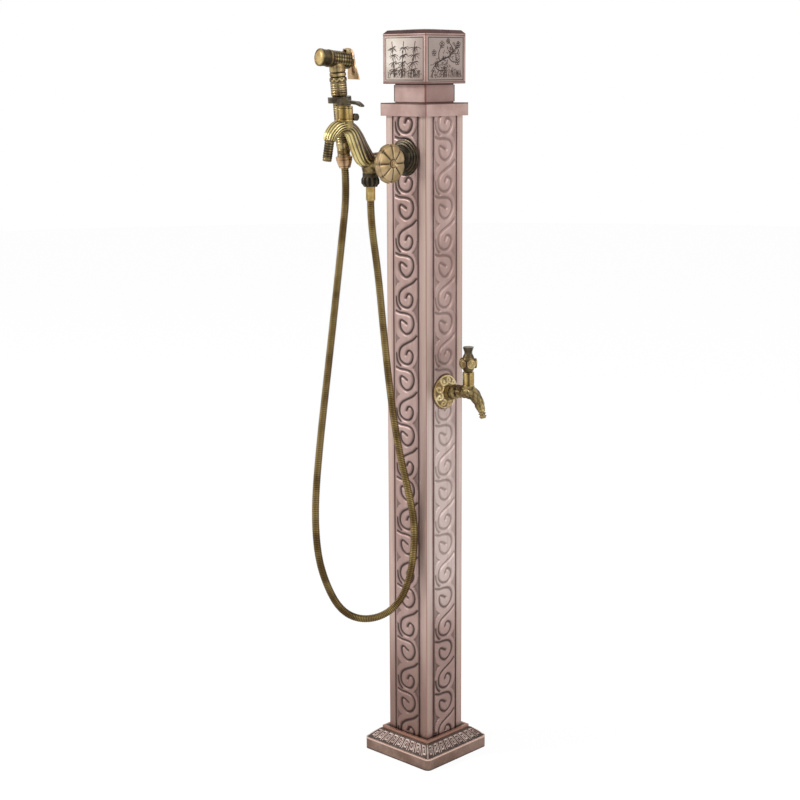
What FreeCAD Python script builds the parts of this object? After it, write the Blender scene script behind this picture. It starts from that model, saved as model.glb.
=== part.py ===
"""Freeze-proof outdoor faucet: a free-standing water column with two taps.

A square column of embossed red copper stands on a cast foot and carries a cap box.
A swan-neck tap with a hose and a hand sprayer leaves the front face (-Y), and a
small bib tap leaves the right-hand face (+X).  Lengths are millimetres, +Z is up
and the origin is the middle of the foot's underside.
"""
import FreeCAD, Part
import math
import os
import Sketcher

Vector = FreeCAD.Vector
doc = FreeCAD.newDocument("outdoor_faucet")

# Driving dimensions, one cell each
SIZES = {
    # Foot
    "plate_half": 58.0,
    "plate_thick": 6.0,
    "anchor_half_spacing": 49.0,
    "anchor_radius": 4.5,
    "supply_hole_radius": 22.0,
    "skirt_half": 69.2,
    "skirt_height": 18.5,
    "skirt_corner": 8.0,
    "skirt_wall": 3.2,
    "key_foot_half": 66.6,
    "key_head_half": 50.5,
    "key_head_height": 32.6,
    "ledge_half": 48.5,
    "cover_height": 37.4,
    "cover_split": 48.8,
    # Column
    "column_half": 40.0,
    "column_wall": 3.2,
    "column_above_tap": 72.0,
    "column_top": "=tap_height + column_above_tap",
    "groove_depth": 1.5,
    "groove_inner": 22.0,
    "groove_outer": 28.0,
    "slip": 0.2,
    # Cap
    "collar_half": 46.2,
    "collar_lap": 12.4,
    "collar_rise": 6.4,
    "collar_base": "=column_top - collar_lap",
    "collar_top": "=column_top + collar_rise",
    "neck_half": 31.7,
    "neck_wall": 3.0,
    "neck_tall": 27.5,
    "neck_lip": 1.6,
    "cap_half": 43.1,
    "cap_tall": 71.5,
    "cap_base": "=collar_top + neck_tall",
    "cap_top": "=cap_base + cap_tall",
    "cap_wall": 5.0,
    "cap_frame": 3.6,
    "panel_recess": 1.6,
    "panel_thick": 1.2,
    "roof_half": 38.3,
    "roof_edge_tall": 5.2,
    "roof_crown_tall": 1.8,
    "roof_edge_top": "=cap_top + roof_edge_tall",
    "roof_crown_top": "=roof_edge_top + roof_crown_tall",
    # Water way inside the column
    "riser_radius": 11.0,
    "riser_bore": 8.0,
    "socket_radius": 14.5,
    "socket_play": 0.05,
    "socket_depth": 14.0,
    "inlet_base": 16.0,
    "inlet_length": 42.0,
    "inlet_thread_radius": 9.3,
    "inlet_thread_length": 15.0,
    "tail_radius": 10.45,
    "tail_bore": 6.0,
    "branch_flange_radius": 17.0,
    "branch_flange_thick": 4.0,
    "foam_radius": 25.0,
    # Swan-neck tap
    "tap_height": 936.0,
    "block_reach": 114.5,
    "wheel_drop": 4.6,
    "wheel_height": "=tap_height - wheel_drop",
    "rosette_radius": 26.5,
    "rosette_depth": 15.0,
    "gasket_thick": 1.0,
    "shank_radius": 12.0,
    "shank_end_radius": 9.2,
    "block_radius": 13.5,
    "block_foot_radius": 11.2,
    "block_crown": 6.6,
    "block_flare": 10.0,
    "boss_wall": 2.4,
    "outlet_drop": 14.4,
    "outlet_height": "=wheel_height - outlet_drop",
    "bonnet_reach": 165.6,
    "bonnet_radius": 12.35,
    "bonnet_rise": 60.6,
    "bonnet_tall": 20.8,
    "bonnet_base": "=wheel_height + bonnet_rise",
    "bonnet_top": "=bonnet_base + bonnet_tall",
    "cartridge_radius": 8.5,
    "spindle_radius": 3.5,
    "spindle_play": 0.05,
    "wheel_radius": 28.5,
    "wheel_back": 34.0,
    "wheel_front": 47.6,
    "wheel_boss_end": 20.0,
    "lever_reach": 36.0,
    "lever_hub_radius": 10.4,
    "lever_hub_height": 10.6,
    "nozzle_radius": 7.0,
    "nozzle_bore": 4.2,
    "nozzle_length": 29.0,
    # Hose
    "hose_radius": 5.75,
    "hose_bore": 3.6,
    "hose_ribs": 64,
    "ferrule_radius": 6.8,
    "ferrule_tall": 19.4,
    "ferrule_base": "=hose_nut_base - ferrule_tall",
    "hose_nut_radius": 13.3,
    "hose_nut_waist": 10.9,
    "hose_nut_tall": 20.0,
    "hose_nut_base": "=outlet_height - hose_nut_tall",
    # Hand sprayer, measured along its own leaning axis
    "sprayer_x": -28.0,
    "sprayer_y": -138.4,
    "sprayer_drop": 12.0,
    "sprayer_z": "=tap_height - sprayer_drop",
    "sprayer_lean": 5.2,
    "nut_height": 17.0,
    "nut_top_radius": 12.0,
    "nut_foot_radius": 8.2,
    "spray_tail_radius": 7.7,
    "grip_base": 33.0,
    "grip_radius": 10.0,
    "handle_base": 104.0,
    "handle_radius": 12.0,
    "handle_top": 145.0,
    "cup_wall": 6.5,
    "cup_tall": 8.0,
    # The sprayer's head, nodding about its middle and turned on the handle
    "head_height": 154.0,
    "head_nod": 11.0,
    "head_turn": 10.5,
    "head_radius": 12.4,
    "head_front": 30.0,
    "head_back": 21.0,
    "trigger_width": 17.0,
    "trigger_thick": 2.4,
    "trigger_flare": 7.0,
    "trigger_drop": 25.0,
    "ear_gap": 3.6,
    "ear_reach": 6.2,
    "pin_radius": 1.5,
    "pin_play": 0.05,
    # Bib tap
    "bib_height": 584.5,
    "bib_rosette_radius": 25.7,
    "bib_rosette_depth": 9.0,
    "bib_bonnet_reach": 88.2,
    "bib_bonnet_radius": 8.8,
    "bib_bonnet_rise": 15.0,
    "bib_bonnet_tall": 21.1,
    "bib_bonnet_base": "=bib_height + bib_bonnet_rise",
    "bib_bonnet_top": "=bib_bonnet_base + bib_bonnet_tall",
    "bib_cartridge_radius": 6.0,
    "bib_nozzle_radius": 5.6,
    "bib_nozzle_bore": 3.0,
    "bib_nozzle_length": 13.0,
    "bib_handle_radius": 13.6,
    "bib_handle_gap": 0.6,
    "bib_handle_tall": 26.8,
    "bib_handle_base": "=bib_bonnet_top + bib_handle_gap",
    "bib_handle_top": "=bib_handle_base + bib_handle_tall",
    "bib_cap_tall": 10.4,
    "bib_cap_top": "=bib_handle_top + bib_cap_tall",
    "bib_cap_radius": 8.4,
}

# The hose's route from the sprayer's nut to the tap's ferrule: a hanging loop that
# stands out from the column's face.  The two ends are worked out from the fittings,
# and the loop rises and falls with the tap, from this height of it.
ROUTE_TAP_HEIGHT = 936.0
HOSE_ROUTE = [
    (-28, -146, 822),
    (-30.5, -158.5, 731),
    (-35, -172, 626),
    (-40.5, -184.5, 522),
    (-44, -193.5, 428),
    (-43, -191, 354),
    (-37, -178.5, 303),
    (-28, -159.5, 262),
    (-15, -132, 242),
    (1, -97.5, 242),
    (13.5, -70, 263),
    (20, -56.5, 298),
    (23, -50, 341),
    (23.5, -49.5, 388),
    (19, -59, 440),
    (12, -73, 508),
    (7, -84, 590),
    (3, -93, 685),
    (0.5, -101, 772),
    (0, -114.5, 846),
]


class Size:
    """A length that carries its own sheet expression through sums and products."""

    def __init__(self, value, text):
        self.value = value
        self.text = text

    def __add__(self, other):
        return join(self, "+", other)

    def __radd__(self, other):
        return join(other, "+", self)

    def __sub__(self, other):
        return join(self, "-", other)

    def __rsub__(self, other):
        return join(other, "-", self)

    def __mul__(self, other):
        return join(self, "*", other)

    def __rmul__(self, other):
        return join(other, "*", self)

    def __truediv__(self, other):
        return join(self, "/", other)

    def __neg__(self):
        return join(0.0, "-", self)


def as_size(thing):
    if isinstance(thing, Size):
        return thing
    return Size(float(thing), repr(float(thing)))


def join(left, sign, right):
    left = as_size(left)
    right = as_size(right)
    if sign == "+":
        value = left.value + right.value
    elif sign == "-":
        value = left.value - right.value
    elif sign == "*":
        value = left.value * right.value
    else:
        value = left.value / right.value
    return Size(value, f"({left.text} {sign} {right.text})")


class Cells:
    """The spreadsheet's cells as attributes."""


sheet = doc.addObject("Spreadsheet::Sheet", "Sizes")
cell = Cells()
for row, alias in enumerate(SIZES, start=1):
    sheet.set(f"A{row}", alias)
    sheet.setAlias(f"B{row}", alias)
for row, amount in enumerate(SIZES.values(), start=1):
    sheet.set(f"B{row}", str(amount))
doc.recompute()
read = {alias: float(sheet.get(alias)) for alias in SIZES}
for alias, number in read.items():
    setattr(cell, alias, Size(number, f"Sizes.{alias}"))

pieces = []


def keep(piece, name):
    """Give a finished sub-part its name."""
    piece.Label = name
    pieces.append(piece)
    return piece


def bind(thing, prop, length):
    length = as_size(length)
    thing.setExpression(prop, length.text)


def place(thing, x=0.0, y=0.0, z=0.0, turn=None):
    """Put a sub-part's own origin at x, y, z, after turning it."""
    x, y, z = as_size(x), as_size(y), as_size(z)
    rotation = turn if turn else FreeCAD.Rotation()
    thing.Placement = FreeCAD.Placement(Vector(x.value, y.value, z.value), rotation)
    for axis, length in zip("xyz", (x, y, z)):
        bind(thing, f"Placement.Base.{axis}", length)
    return thing


TO_FRONT = FreeCAD.Rotation(Vector(1, 0, 0), 90)
TO_RIGHT = FreeCAD.Rotation(Vector(0, 1, 0), 90)


def plane_of(body, role):
    for feature in body.Origin.OriginFeatures:
        if feature.Role == role:
            return feature
    return None


def outline(body, role, corners, height=0.0):
    """A closed sketch through corners; a third number bows the edge that ends there."""
    sketch = body.newObject("Sketcher::SketchObject", "outline")
    sketch.AttachmentSupport = (plane_of(body, role), [""])
    sketch.MapMode = "FlatFace"
    bind(sketch, "AttachmentOffset.Base.z", height)
    draw_loop(sketch, corners)
    return sketch


def draw_loop(sketch, corners):
    ends = [(as_size(corner[0]), as_size(corner[1])) for corner in corners]
    first = sketch.GeometryCount
    for index, corner in enumerate(corners):
        start = ends[index - 1]
        end = ends[index]
        a = Vector(start[0].value, start[1].value, 0)
        b = Vector(end[0].value, end[1].value, 0)
        if len(corner) == 3:
            bow = as_size(corner[2])
            side = Vector(b.y - a.y, a.x - b.x, 0)
            side.normalize()
            middle = (a + b) * 0.5 + side * bow.value
            arc = Part.Arc(a, middle, b) if bow.value > 0 else Part.Arc(b, middle, a)
            sketch.addGeometry(arc, False)
        else:
            sketch.addGeometry(Part.LineSegment(a, b), False)
    count = len(corners)
    for index, corner in enumerate(corners):
        here = first + index
        after = first + (index + 1) % count
        is_arc = len(corner) == 3
        arc_after = len(corners[(index + 1) % count]) == 3
        tail = arc_tail(sketch, here, ends[index]) if is_arc else 2
        nose = arc_tail(sketch, after, ends[index]) if arc_after else 1
        sketch.addConstraint(Sketcher.Constraint("Coincident", here, tail, after, nose))
        pin_point(sketch, here, tail, ends[index])
        if is_arc:
            span_x = ends[index][0] - ends[index - 1][0]
            span_y = ends[index][1] - ends[index - 1][1]
            bow = as_size(abs_size(as_size(corner[2])))
            radius = (span_x * span_x + span_y * span_y) / (8 * bow) + bow / 2
            number = sketch.addConstraint(Sketcher.Constraint("Radius", here, radius.value))
            sketch.setExpression(f"Constraints[{number}]", radius.text)


def abs_size(length):
    return length if length.value >= 0 else -length


def arc_tail(sketch, index, corner):
    """Which end of an arc lies at the corner: an arc always runs anticlockwise."""
    arc = sketch.Geometry[index]
    spot = Vector(corner[0].value, corner[1].value, 0)
    return 1 if (arc.StartPoint - spot).Length < (arc.EndPoint - spot).Length else 2


def pin_point(sketch, geometry, end, corner):
    for kind, length in zip(("DistanceX", "DistanceY"), corner):
        number = sketch.addConstraint(
            Sketcher.Constraint(kind, -1, 1, geometry, end, length.value))
        sketch.setExpression(f"Constraints[{number}]", length.text)


def draw_circle(sketch, x, y, radius):
    x, y, radius = as_size(x), as_size(y), as_size(radius)
    centre = Vector(x.value, y.value, 0)
    ring = sketch.addGeometry(Part.Circle(centre, Vector(0, 0, 1), radius.value), False)
    pin_point(sketch, ring, 3, (x, y))
    number = sketch.addConstraint(Sketcher.Constraint("Radius", ring, radius.value))
    sketch.setExpression(f"Constraints[{number}]", radius.text)


def square(half, corner=None):
    """Corners of a square outline, with rounded corners where a radius is given."""
    half = as_size(half)
    if corner is None:
        return [(-half, -half), (half, -half), (half, half), (-half, half)]
    corner = as_size(corner)
    inner = half - corner
    bow = corner * (1 - math.sqrt(0.5))
    return [(inner, -half), (half, -inner, bow), (half, inner), (inner, half, bow),
            (-inner, half), (-half, inner, bow), (-half, -inner), (-inner, -half, bow)]


def new_body():
    return doc.addObject("PartDesign::Body", "Body")


def turned(corners, name=None):
    """A turned piece: corners are radius and height along the piece's own axis."""
    body = new_body()
    sketch = outline(body, "XZ_Plane", corners)
    spin = body.newObject("PartDesign::Revolution", "spin")
    spin.Profile = sketch
    spin.ReferenceAxis = (sketch, ["V_Axis"])
    spin.Angle = 360.0
    if name:
        keep(body, name)
    return body


def tube(outer, inner, base, top, name=None):
    return turned([(inner, base), (outer, base), (outer, top), (inner, top)], name)


def rod(radius, base, top, name=None):
    return turned([(0, base), (radius, base), (radius, top), (0, top)], name)


def padded(loops, base, top, role="XY_Plane", name=None):
    """A flat outline, with the loops inside it left open, raised from base to top."""
    body = new_body()
    sketch = outline(body, role, loops[0], base)
    for loop in loops[1:]:
        if len(loop) == 1:
            draw_circle(sketch, *loop[0])
        else:
            draw_loop(sketch, loop)
    pad = body.newObject("PartDesign::Pad", "pad")
    pad.Profile = sketch
    bind(pad, "Length", as_size(top) - base)
    if name:
        keep(body, name)
    return body


def pocket_loop(body, corners, base, depth, role="XY_Plane", through=False, reverse=False):
    sketch = outline(body, role, corners, base)
    pocket = body.newObject("PartDesign::Pocket", "pocket")
    pocket.Profile = sketch
    if through:
        pocket.Type = "ThroughAll"
        pocket.Midplane = True
    else:
        bind(pocket, "Length", depth)
        pocket.Reversed = reverse
    return pocket


def join_all(parts, name=None):
    fused = doc.addObject("Part::MultiFuse", "Joined")
    fused.Shapes = parts
    if name:
        keep(fused, name)
    return fused


def cut_away(base, tools, name=None):
    tool = tools[0] if len(tools) == 1 else join_all(tools)
    cut = doc.addObject("Part::Cut", "Bored")
    cut.Base = base
    cut.Tool = tool
    if name:
        keep(cut, name)
    return cut


def box(low, high, name=None):
    """A block between two corners."""
    block = doc.addObject("Part::Box", "Block")
    for prop, a, b in zip(("Length", "Width", "Height"), low, high):
        bind(block, prop, as_size(b) - a)
    place(block, *low)
    if name:
        keep(block, name)
    return block


def from_shape(shape, name=None):
    feature = doc.addObject("Part::Feature", "Cast")
    feature.Shape = shape
    if name:
        keep(feature, name)
    return feature


def foot():
    """The steel floor plate and the cast cover, in a front fork and a closing piece."""
    c = cell
    spacing = c.anchor_half_spacing
    holes = [[(x, y, c.anchor_radius)] for x in (-spacing, spacing) for y in (-spacing, spacing)]
    padded([square(c.plate_half), [(0, 0, c.supply_hole_radius)]] + holes,
           0, c.plate_thick, name="base_plate")

    cover = new_body()
    skirt = cover.newObject("PartDesign::Pad", "skirt")
    skirt.Profile = outline(cover, "XY_Plane", square(c.skirt_half, c.skirt_corner))
    bind(skirt, "Length", c.skirt_height)
    band = cover.newObject("PartDesign::AdditiveLoft", "band")
    band.Profile = outline(cover, "XY_Plane", square(c.key_foot_half, c.skirt_corner - 2),
                           c.skirt_height)
    band.Sections = [outline(cover, "XY_Plane", square(c.key_head_half, c.skirt_corner - 4),
                             c.key_head_height)]
    band.Ruled = True
    ledge = cover.newObject("PartDesign::Pad", "ledge")
    ledge.Profile = outline(cover, "XY_Plane", square(c.ledge_half), c.key_head_height)
    bind(ledge, "Length", c.cover_height - c.key_head_height)
    inner_half = c.skirt_half - c.skirt_wall
    hollow_height = c.skirt_height - 1.5
    pocket_loop(cover, square(inner_half), 0, hollow_height, reverse=True)
    hollow = cover.newObject("PartDesign::SubtractiveLoft", "hollow")
    hollow.Profile = outline(cover, "XY_Plane", square(c.key_foot_half - 4), hollow_height)
    hollow.Sections = [outline(cover, "XY_Plane", square(c.ledge_half - 4),
                               c.key_head_height - 1)]
    hollow.Ruled = True
    pocket_loop(cover, square(c.column_half + c.slip), 0, 0, through=True)

    reach = c.skirt_half + 5
    top = c.cover_height + 5
    behind = c.column_half + c.slip
    rear_space = join_all([box((-reach, c.cover_split, -5), (reach, reach, top)),
                           box((-behind, c.column_half - 2, -5), (behind, reach, top))])
    cut_away(cover, [rear_space], "base_cover_front")
    gap = c.slip
    rear_block = join_all([
        box((-reach, c.cover_split + gap, -5), (reach, reach, top)),
        box((gap - behind, c.column_half, -5), (behind - gap, reach, top))])
    rear = doc.addObject("Part::Common", "Rear")
    rear.Base = cover
    rear.Tool = rear_block
    keep(rear, "base_cover_rear")


def column():
    """The square tube with a sunk groove each side of every embossed band."""
    c = cell
    half = c.column_half
    sunk = half - c.groove_depth
    groove = [(c.groove_outer, half), (c.groove_outer, sunk), (c.groove_inner, sunk),
              (c.groove_inner, half)]
    side = [(half, half)] + groove + [(-along, out) for along, out in reversed(groove)]
    ring = []
    for _ in range(4):
        ring += side
        side = [(-y, x) for x, y in side]
    tube_body = padded([ring, square(half - c.column_wall)], c.plate_thick, c.column_top)
    front_hole = place(rod(c.tail_radius + 0.5, half - 8, half + 3), z=c.tap_height, turn=TO_FRONT)
    right_hole = place(rod(c.tail_radius + 0.5, half - 8, half + 3), z=c.bib_height, turn=TO_RIGHT)
    cut_away(tube_body, [front_hole, right_hole], "column_tube")


def cap():
    """Collar, neck, panelled box, its four plaques and the low roof."""
    c = cell
    collar = padded([square(c.collar_half, 1.2)], c.collar_base, c.collar_top)
    pocket_loop(collar, square(c.column_half + c.slip), c.collar_base,
                c.column_top - c.collar_base, reverse=True)
    pocket_loop(collar, square(c.neck_half - c.neck_wall), 0, 0, through=True)
    keep(collar, "column_collar")

    neck_inner = c.neck_half - c.neck_wall
    lip = c.neck_lip
    low = padded([square(c.neck_half), square(neck_inner)], c.collar_top + lip, c.cap_base - lip)
    ends = [padded([square(c.neck_half - 1.2), square(neck_inner)], base, base + lip)
            for base in (c.collar_top, c.cap_base - lip)]
    join_all([low] + ends, "cap_neck")

    inside = c.cap_half - c.cap_wall
    housing = padded([square(c.cap_half, 1.0)], c.cap_base, c.cap_top)
    pocket_loop(housing, square(inside), c.cap_base + c.cap_wall,
                c.cap_top - c.cap_base - c.cap_wall, reverse=True)
    pocket_loop(housing, square(neck_inner), 0, 0, through=True)
    opening = c.cap_half - c.cap_frame
    low_edge = c.cap_base + c.cap_frame
    high_edge = c.cap_top - c.cap_frame
    deep = c.cap_half - c.panel_recess
    far = c.cap_half + 3
    recesses = [box((-opening, -far, low_edge), (opening, -deep, high_edge)),
                box((-opening, deep, low_edge), (opening, far, high_edge)),
                box((-far, -opening, low_edge), (-deep, opening, high_edge)),
                box((deep, -opening, low_edge), (far, opening, high_edge))]
    cut_away(housing, recesses, "cap_box")

    face = deep + c.panel_thick
    edge = opening - c.slip
    base = low_edge + c.slip
    top = high_edge - c.slip
    plaques = doc.addObject("Part::Compound", "Plaques")
    plaques.Links = [box((-edge, -face, base), (edge, -deep, top)),
                     box((-edge, deep, base), (edge, face, top)),
                     box((-face, -edge, base), (-deep, edge, top)),
                     box((deep, -edge, base), (face, edge, top))]
    keep(plaques, "cap_panels")

    roof = padded([square(inside - c.slip)], c.cap_top - 4, c.cap_top)
    edge_loft = roof.newObject("PartDesign::AdditiveLoft", "slope")
    edge_loft.Profile = outline(roof, "XY_Plane", square(c.cap_half), c.cap_top)
    edge_loft.Sections = [outline(roof, "XY_Plane", square(c.roof_half), c.roof_edge_top)]
    edge_loft.Ruled = True
    crown = roof.newObject("PartDesign::AdditiveLoft", "crown")
    crown.Profile = outline(roof, "XY_Plane", square(c.roof_half), c.roof_edge_top)
    crown.Sections = [outline(roof, "XY_Plane", square(c.roof_half / 4), c.roof_crown_top)]
    crown.Ruled = True
    keep(roof, "cap_roof")


def branch(body_parts, bores, height, turn):
    """A side outlet with a flange that bears on the inside of the column's wall."""
    c = cell
    wall = c.column_half - c.column_wall
    body_parts.append(place(rod(c.socket_radius, 0, wall - 1), z=height, turn=turn))
    flange = rod(c.branch_flange_radius, wall - c.branch_flange_thick, wall)
    body_parts.append(place(flange, z=height, turn=turn))
    bores.append(place(rod(c.tail_radius + c.socket_play, c.riser_bore + 6, wall + 1),
                       z=height, turn=turn))
    bores.append(place(rod(c.riser_bore, 0, wall), z=height, turn=turn))


def water_way():
    """The riser with its inlet, tee and elbow, inside a foam sleeve against frost."""
    c = cell
    mouth = c.riser_radius + c.socket_play
    inlet_top = c.inlet_base + c.inlet_length
    seat = inlet_top - c.socket_depth
    thread_top = c.inlet_base + c.inlet_thread_length
    turned([(c.inlet_thread_radius, c.inlet_base), (c.socket_radius + 2, c.inlet_base),
            (c.socket_radius + 2, thread_top), (c.socket_radius, thread_top + 2),
            (c.socket_radius, inlet_top), (mouth, inlet_top), (mouth, seat),
            (c.riser_bore, seat), (c.riser_bore, thread_top),
            (c.inlet_thread_radius, thread_top)], "inlet_connector")

    tee_half = c.socket_radius + c.socket_depth - 4
    tee_low = c.bib_height - tee_half
    tee_high = c.bib_height + tee_half
    solids = [rod(c.socket_radius, tee_low, tee_high)]
    bores = [rod(mouth, tee_low - 1, tee_low + c.socket_depth),
             rod(mouth, tee_high - c.socket_depth, tee_high + 1),
             rod(c.riser_bore, tee_low, tee_high)]
    branch(solids, bores, c.bib_height, TO_RIGHT)
    cut_away(join_all(solids), bores, "riser_tee")

    elbow_low = c.tap_height - tee_half
    solids = [rod(c.socket_radius, elbow_low, c.tap_height + c.socket_radius + 2)]
    bores = [rod(mouth, elbow_low - 1, elbow_low + c.socket_depth),
             rod(c.riser_bore, elbow_low, c.tap_height)]
    branch(solids, bores, c.tap_height, TO_FRONT)
    cut_away(join_all(solids), bores, "upper_elbow")

    lower_top = tee_low + c.socket_depth
    upper_base = tee_high - c.socket_depth
    upper_top = elbow_low + c.socket_depth
    tube(c.riser_radius, c.riser_bore, seat, lower_top, "riser_lower")
    tube(c.riser_radius, c.riser_bore, upper_base, upper_top, "riser_upper")
    foam = doc.addObject("Part::Compound", "Foam")
    foam.Links = [tube(c.foam_radius, c.riser_radius + 0.3, inlet_top + 0.3, tee_low - 0.3),
                  tube(c.foam_radius, c.riser_radius + 0.3, tee_high + 0.3, elbow_low - 0.3)]
    keep(foam, "pipe_insulation")


def gaskets():
    """A rubber washer behind each wall rosette."""
    c = cell
    washers = []
    for radius, height, turn in ((c.rosette_radius, c.tap_height, TO_FRONT),
                                 (c.bib_rosette_radius, c.bib_height, TO_RIGHT)):
        washer = tube(radius - 3, c.tail_radius + 0.3, c.column_half, c.column_half + c.gasket_thick)
        washers.append(place(washer, z=height, turn=turn))
    group = doc.addObject("Part::Compound", "Washers")
    group.Links = washers
    keep(group, "wall_gaskets")


def ellipse_wire(centre, normal, across, tall, wide):
    """A closed ellipse: tall is its half size in the bend's plane, wide across it."""
    if tall >= wide:
        curve = Part.Ellipse(Vector(0, 0, 0), tall, wide)
        frame = FreeCAD.Matrix()
        long_axis, short_axis = across.cross(normal), across
    else:
        curve = Part.Ellipse(Vector(0, 0, 0), wide, tall)
        frame = FreeCAD.Matrix()
        long_axis, short_axis = across, normal.cross(across)
    third = long_axis.cross(short_axis)
    frame.A11, frame.A21, frame.A31 = long_axis.x, long_axis.y, long_axis.z
    frame.A12, frame.A22, frame.A32 = short_axis.x, short_axis.y, short_axis.z
    frame.A13, frame.A23, frame.A33 = third.x, third.y, third.z
    wire = Part.Wire([curve.toShape()])
    wire.Placement = FreeCAD.Placement(frame)
    wire.Placement.Base = centre
    return wire


def bent_casting(stations, across):
    """A smooth casting through stations of centre, direction, half height, half width."""
    wires = []
    for centre, direction, tall, wide in stations:
        direction.normalize()
        wires.append(ellipse_wire(centre, direction, across, tall, wide + 0.01))
    return Part.makeLoft(wires, True, False)


# The neck's stations are drawn for a bonnet this far out from the block and above the wheel
NECK_SPREAD = 51.1
NECK_CLIMB = 60.6


def swan_neck():
    """The tap's casting: shank, valve block, arched neck and bonnet seat, bored through."""
    s = read
    reach = s["block_reach"]
    crown = s["bonnet_reach"]
    seat = s["bonnet_base"]
    # Centre offset from the block (out, up), direction (out, up), half height, half width
    neck = [((2.0, 0.0), (0.78, 0.62), 9.6, 11.0),
            ((13.0, 8.5), (0.66, 0.75), 13.6, 12.0),
            ((22.0, 21.5), (0.60, 0.80), 12.8, 12.0),
            ((30.5, 36.5), (0.60, 0.80), 11.2, 11.5),
            ((39.5, 48.0), (0.80, 0.60), 9.0, 11.5),
            ((51.0, 52.8), (1.00, 0.05), 8.0, 12.0),
            ((65.5, 51.5), (0.90, -0.45), 8.6, 10.5),
            ((76.5, 43.0), (0.50, -0.85), 8.4, 9.2),
            ((80.5, 34.0), (0.20, -0.98), 7.4, 7.6)]
    spread = (crown - reach) / NECK_SPREAD
    climb = s["bonnet_rise"] / NECK_CLIMB
    stations = []
    for (out, up), (run, rise), tall, wide in neck:
        centre = Vector(0, -reach - out * spread, s["wheel_height"] + up * climb)
        stations.append((centre, Vector(0, -run, rise), tall, wide))
    arm = bent_casting(stations, Vector(1, 0, 0))

    front = Vector(0, -1, 0)
    up = Vector(0, 0, 1)
    right = Vector(1, 0, 0)
    wall = -s["column_half"]
    block_low = s["outlet_height"]
    shank_base = Vector(0, wall - s["gasket_thick"], s["tap_height"])
    collar = Part.makeCylinder(s["shank_radius"], s["rosette_depth"] + 2, shank_base, front)
    shank = Part.makeCone(s["shank_radius"], s["shank_end_radius"], reach + shank_base.y,
                          shank_base, front)
    tail_base = Vector(0, -s["riser_bore"] - 10, s["tap_height"])
    tail = Part.makeCylinder(s["tail_radius"], tail_base.y - shank_base.y + 1, tail_base, front)
    middle = s["wheel_height"]
    block_side = [(s["block_foot_radius"], block_low),
                  (s["block_radius"], block_low + s["block_flare"]),
                  (s["block_radius"], middle + 1.5),
                  (s["block_radius"] - 4, middle + s["block_crown"])]
    rings = []
    for radius, height in block_side:
        ring = Part.Circle(Vector(0, -reach, height), up, radius)
        rings.append(Part.Wire([ring.toShape()]))
    block = Part.makeLoft(rings, True, True)
    outlet = Part.makeCylinder(s["tail_radius"], 8, Vector(0, -reach, block_low - 6), up)
    wheel_seat = Vector(0, -reach, s["wheel_height"])
    boss_radius = s["cartridge_radius"] + s["boss_wall"]
    boss = Part.makeCylinder(boss_radius, s["wheel_boss_end"], wheel_seat, right)
    boss_end = Part.makeSphere(boss_radius, wheel_seat)
    crown_seat = Part.makeCylinder(s["bonnet_radius"] + 0.8, 10, Vector(0, -crown, seat - 10), up)
    body = arm.fuse([collar, shank, tail, block, outlet, boss, boss_end, crown_seat])

    bore = s["tail_bore"]
    shank_bore = Part.makeCylinder(bore, reach + tail_base.y + 1, tail_base + Vector(0, 1, 0), front)
    drop_bore = Part.makeCylinder(bore, s["wheel_height"] - block_low + 7,
                                  Vector(0, -reach, block_low - 7), up)
    wheel_bore = Part.makeCylinder(s["cartridge_radius"], s["wheel_boss_end"] + 1,
                                   wheel_seat, right)
    crown_bore = Part.makeCylinder(s["cartridge_radius"], 7.5, Vector(0, -crown, seat - 7), up)
    nose = stations[-1][0]
    nose_way = nose_direction()
    nozzle_bore = Part.makeCylinder(s["nozzle_bore"], 14, nose - nose_way * 12, nose_way)
    above_seat = Part.makeCylinder(s["bonnet_radius"] + 8, 12, Vector(0, -crown, seat), up)
    body = body.cut([shank_bore, drop_bore, wheel_bore, crown_bore, nozzle_bore, above_seat])
    from_shape(body, "tap_body")
    return nose


def nose_direction():
    """The way that the spout's end points."""
    way = Vector(0, -0.20, -0.98)
    way.normalize()
    return way


def barbed(radius, bore, length, ribs, name):
    """A ribbed hose tail, from its root at 0 up to its tip."""
    step = (length - 5.0) / ribs
    corners = [(bore, 0), (radius - 0.2, 0), (radius - 0.2, 2.5)]
    for rib in range(ribs):
        base = 2.5 + rib * step
        corners += [(radius - 1.6, base + 0.3), (radius - 1.6, base + step * 0.45),
                    (radius, base + step * 0.55), (radius - 0.3, base + step * 0.95)]
    corners += [(radius - 1.2, length - 2.0), (radius - 1.8, length), (bore, length)]
    return turned(corners, name)


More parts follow.
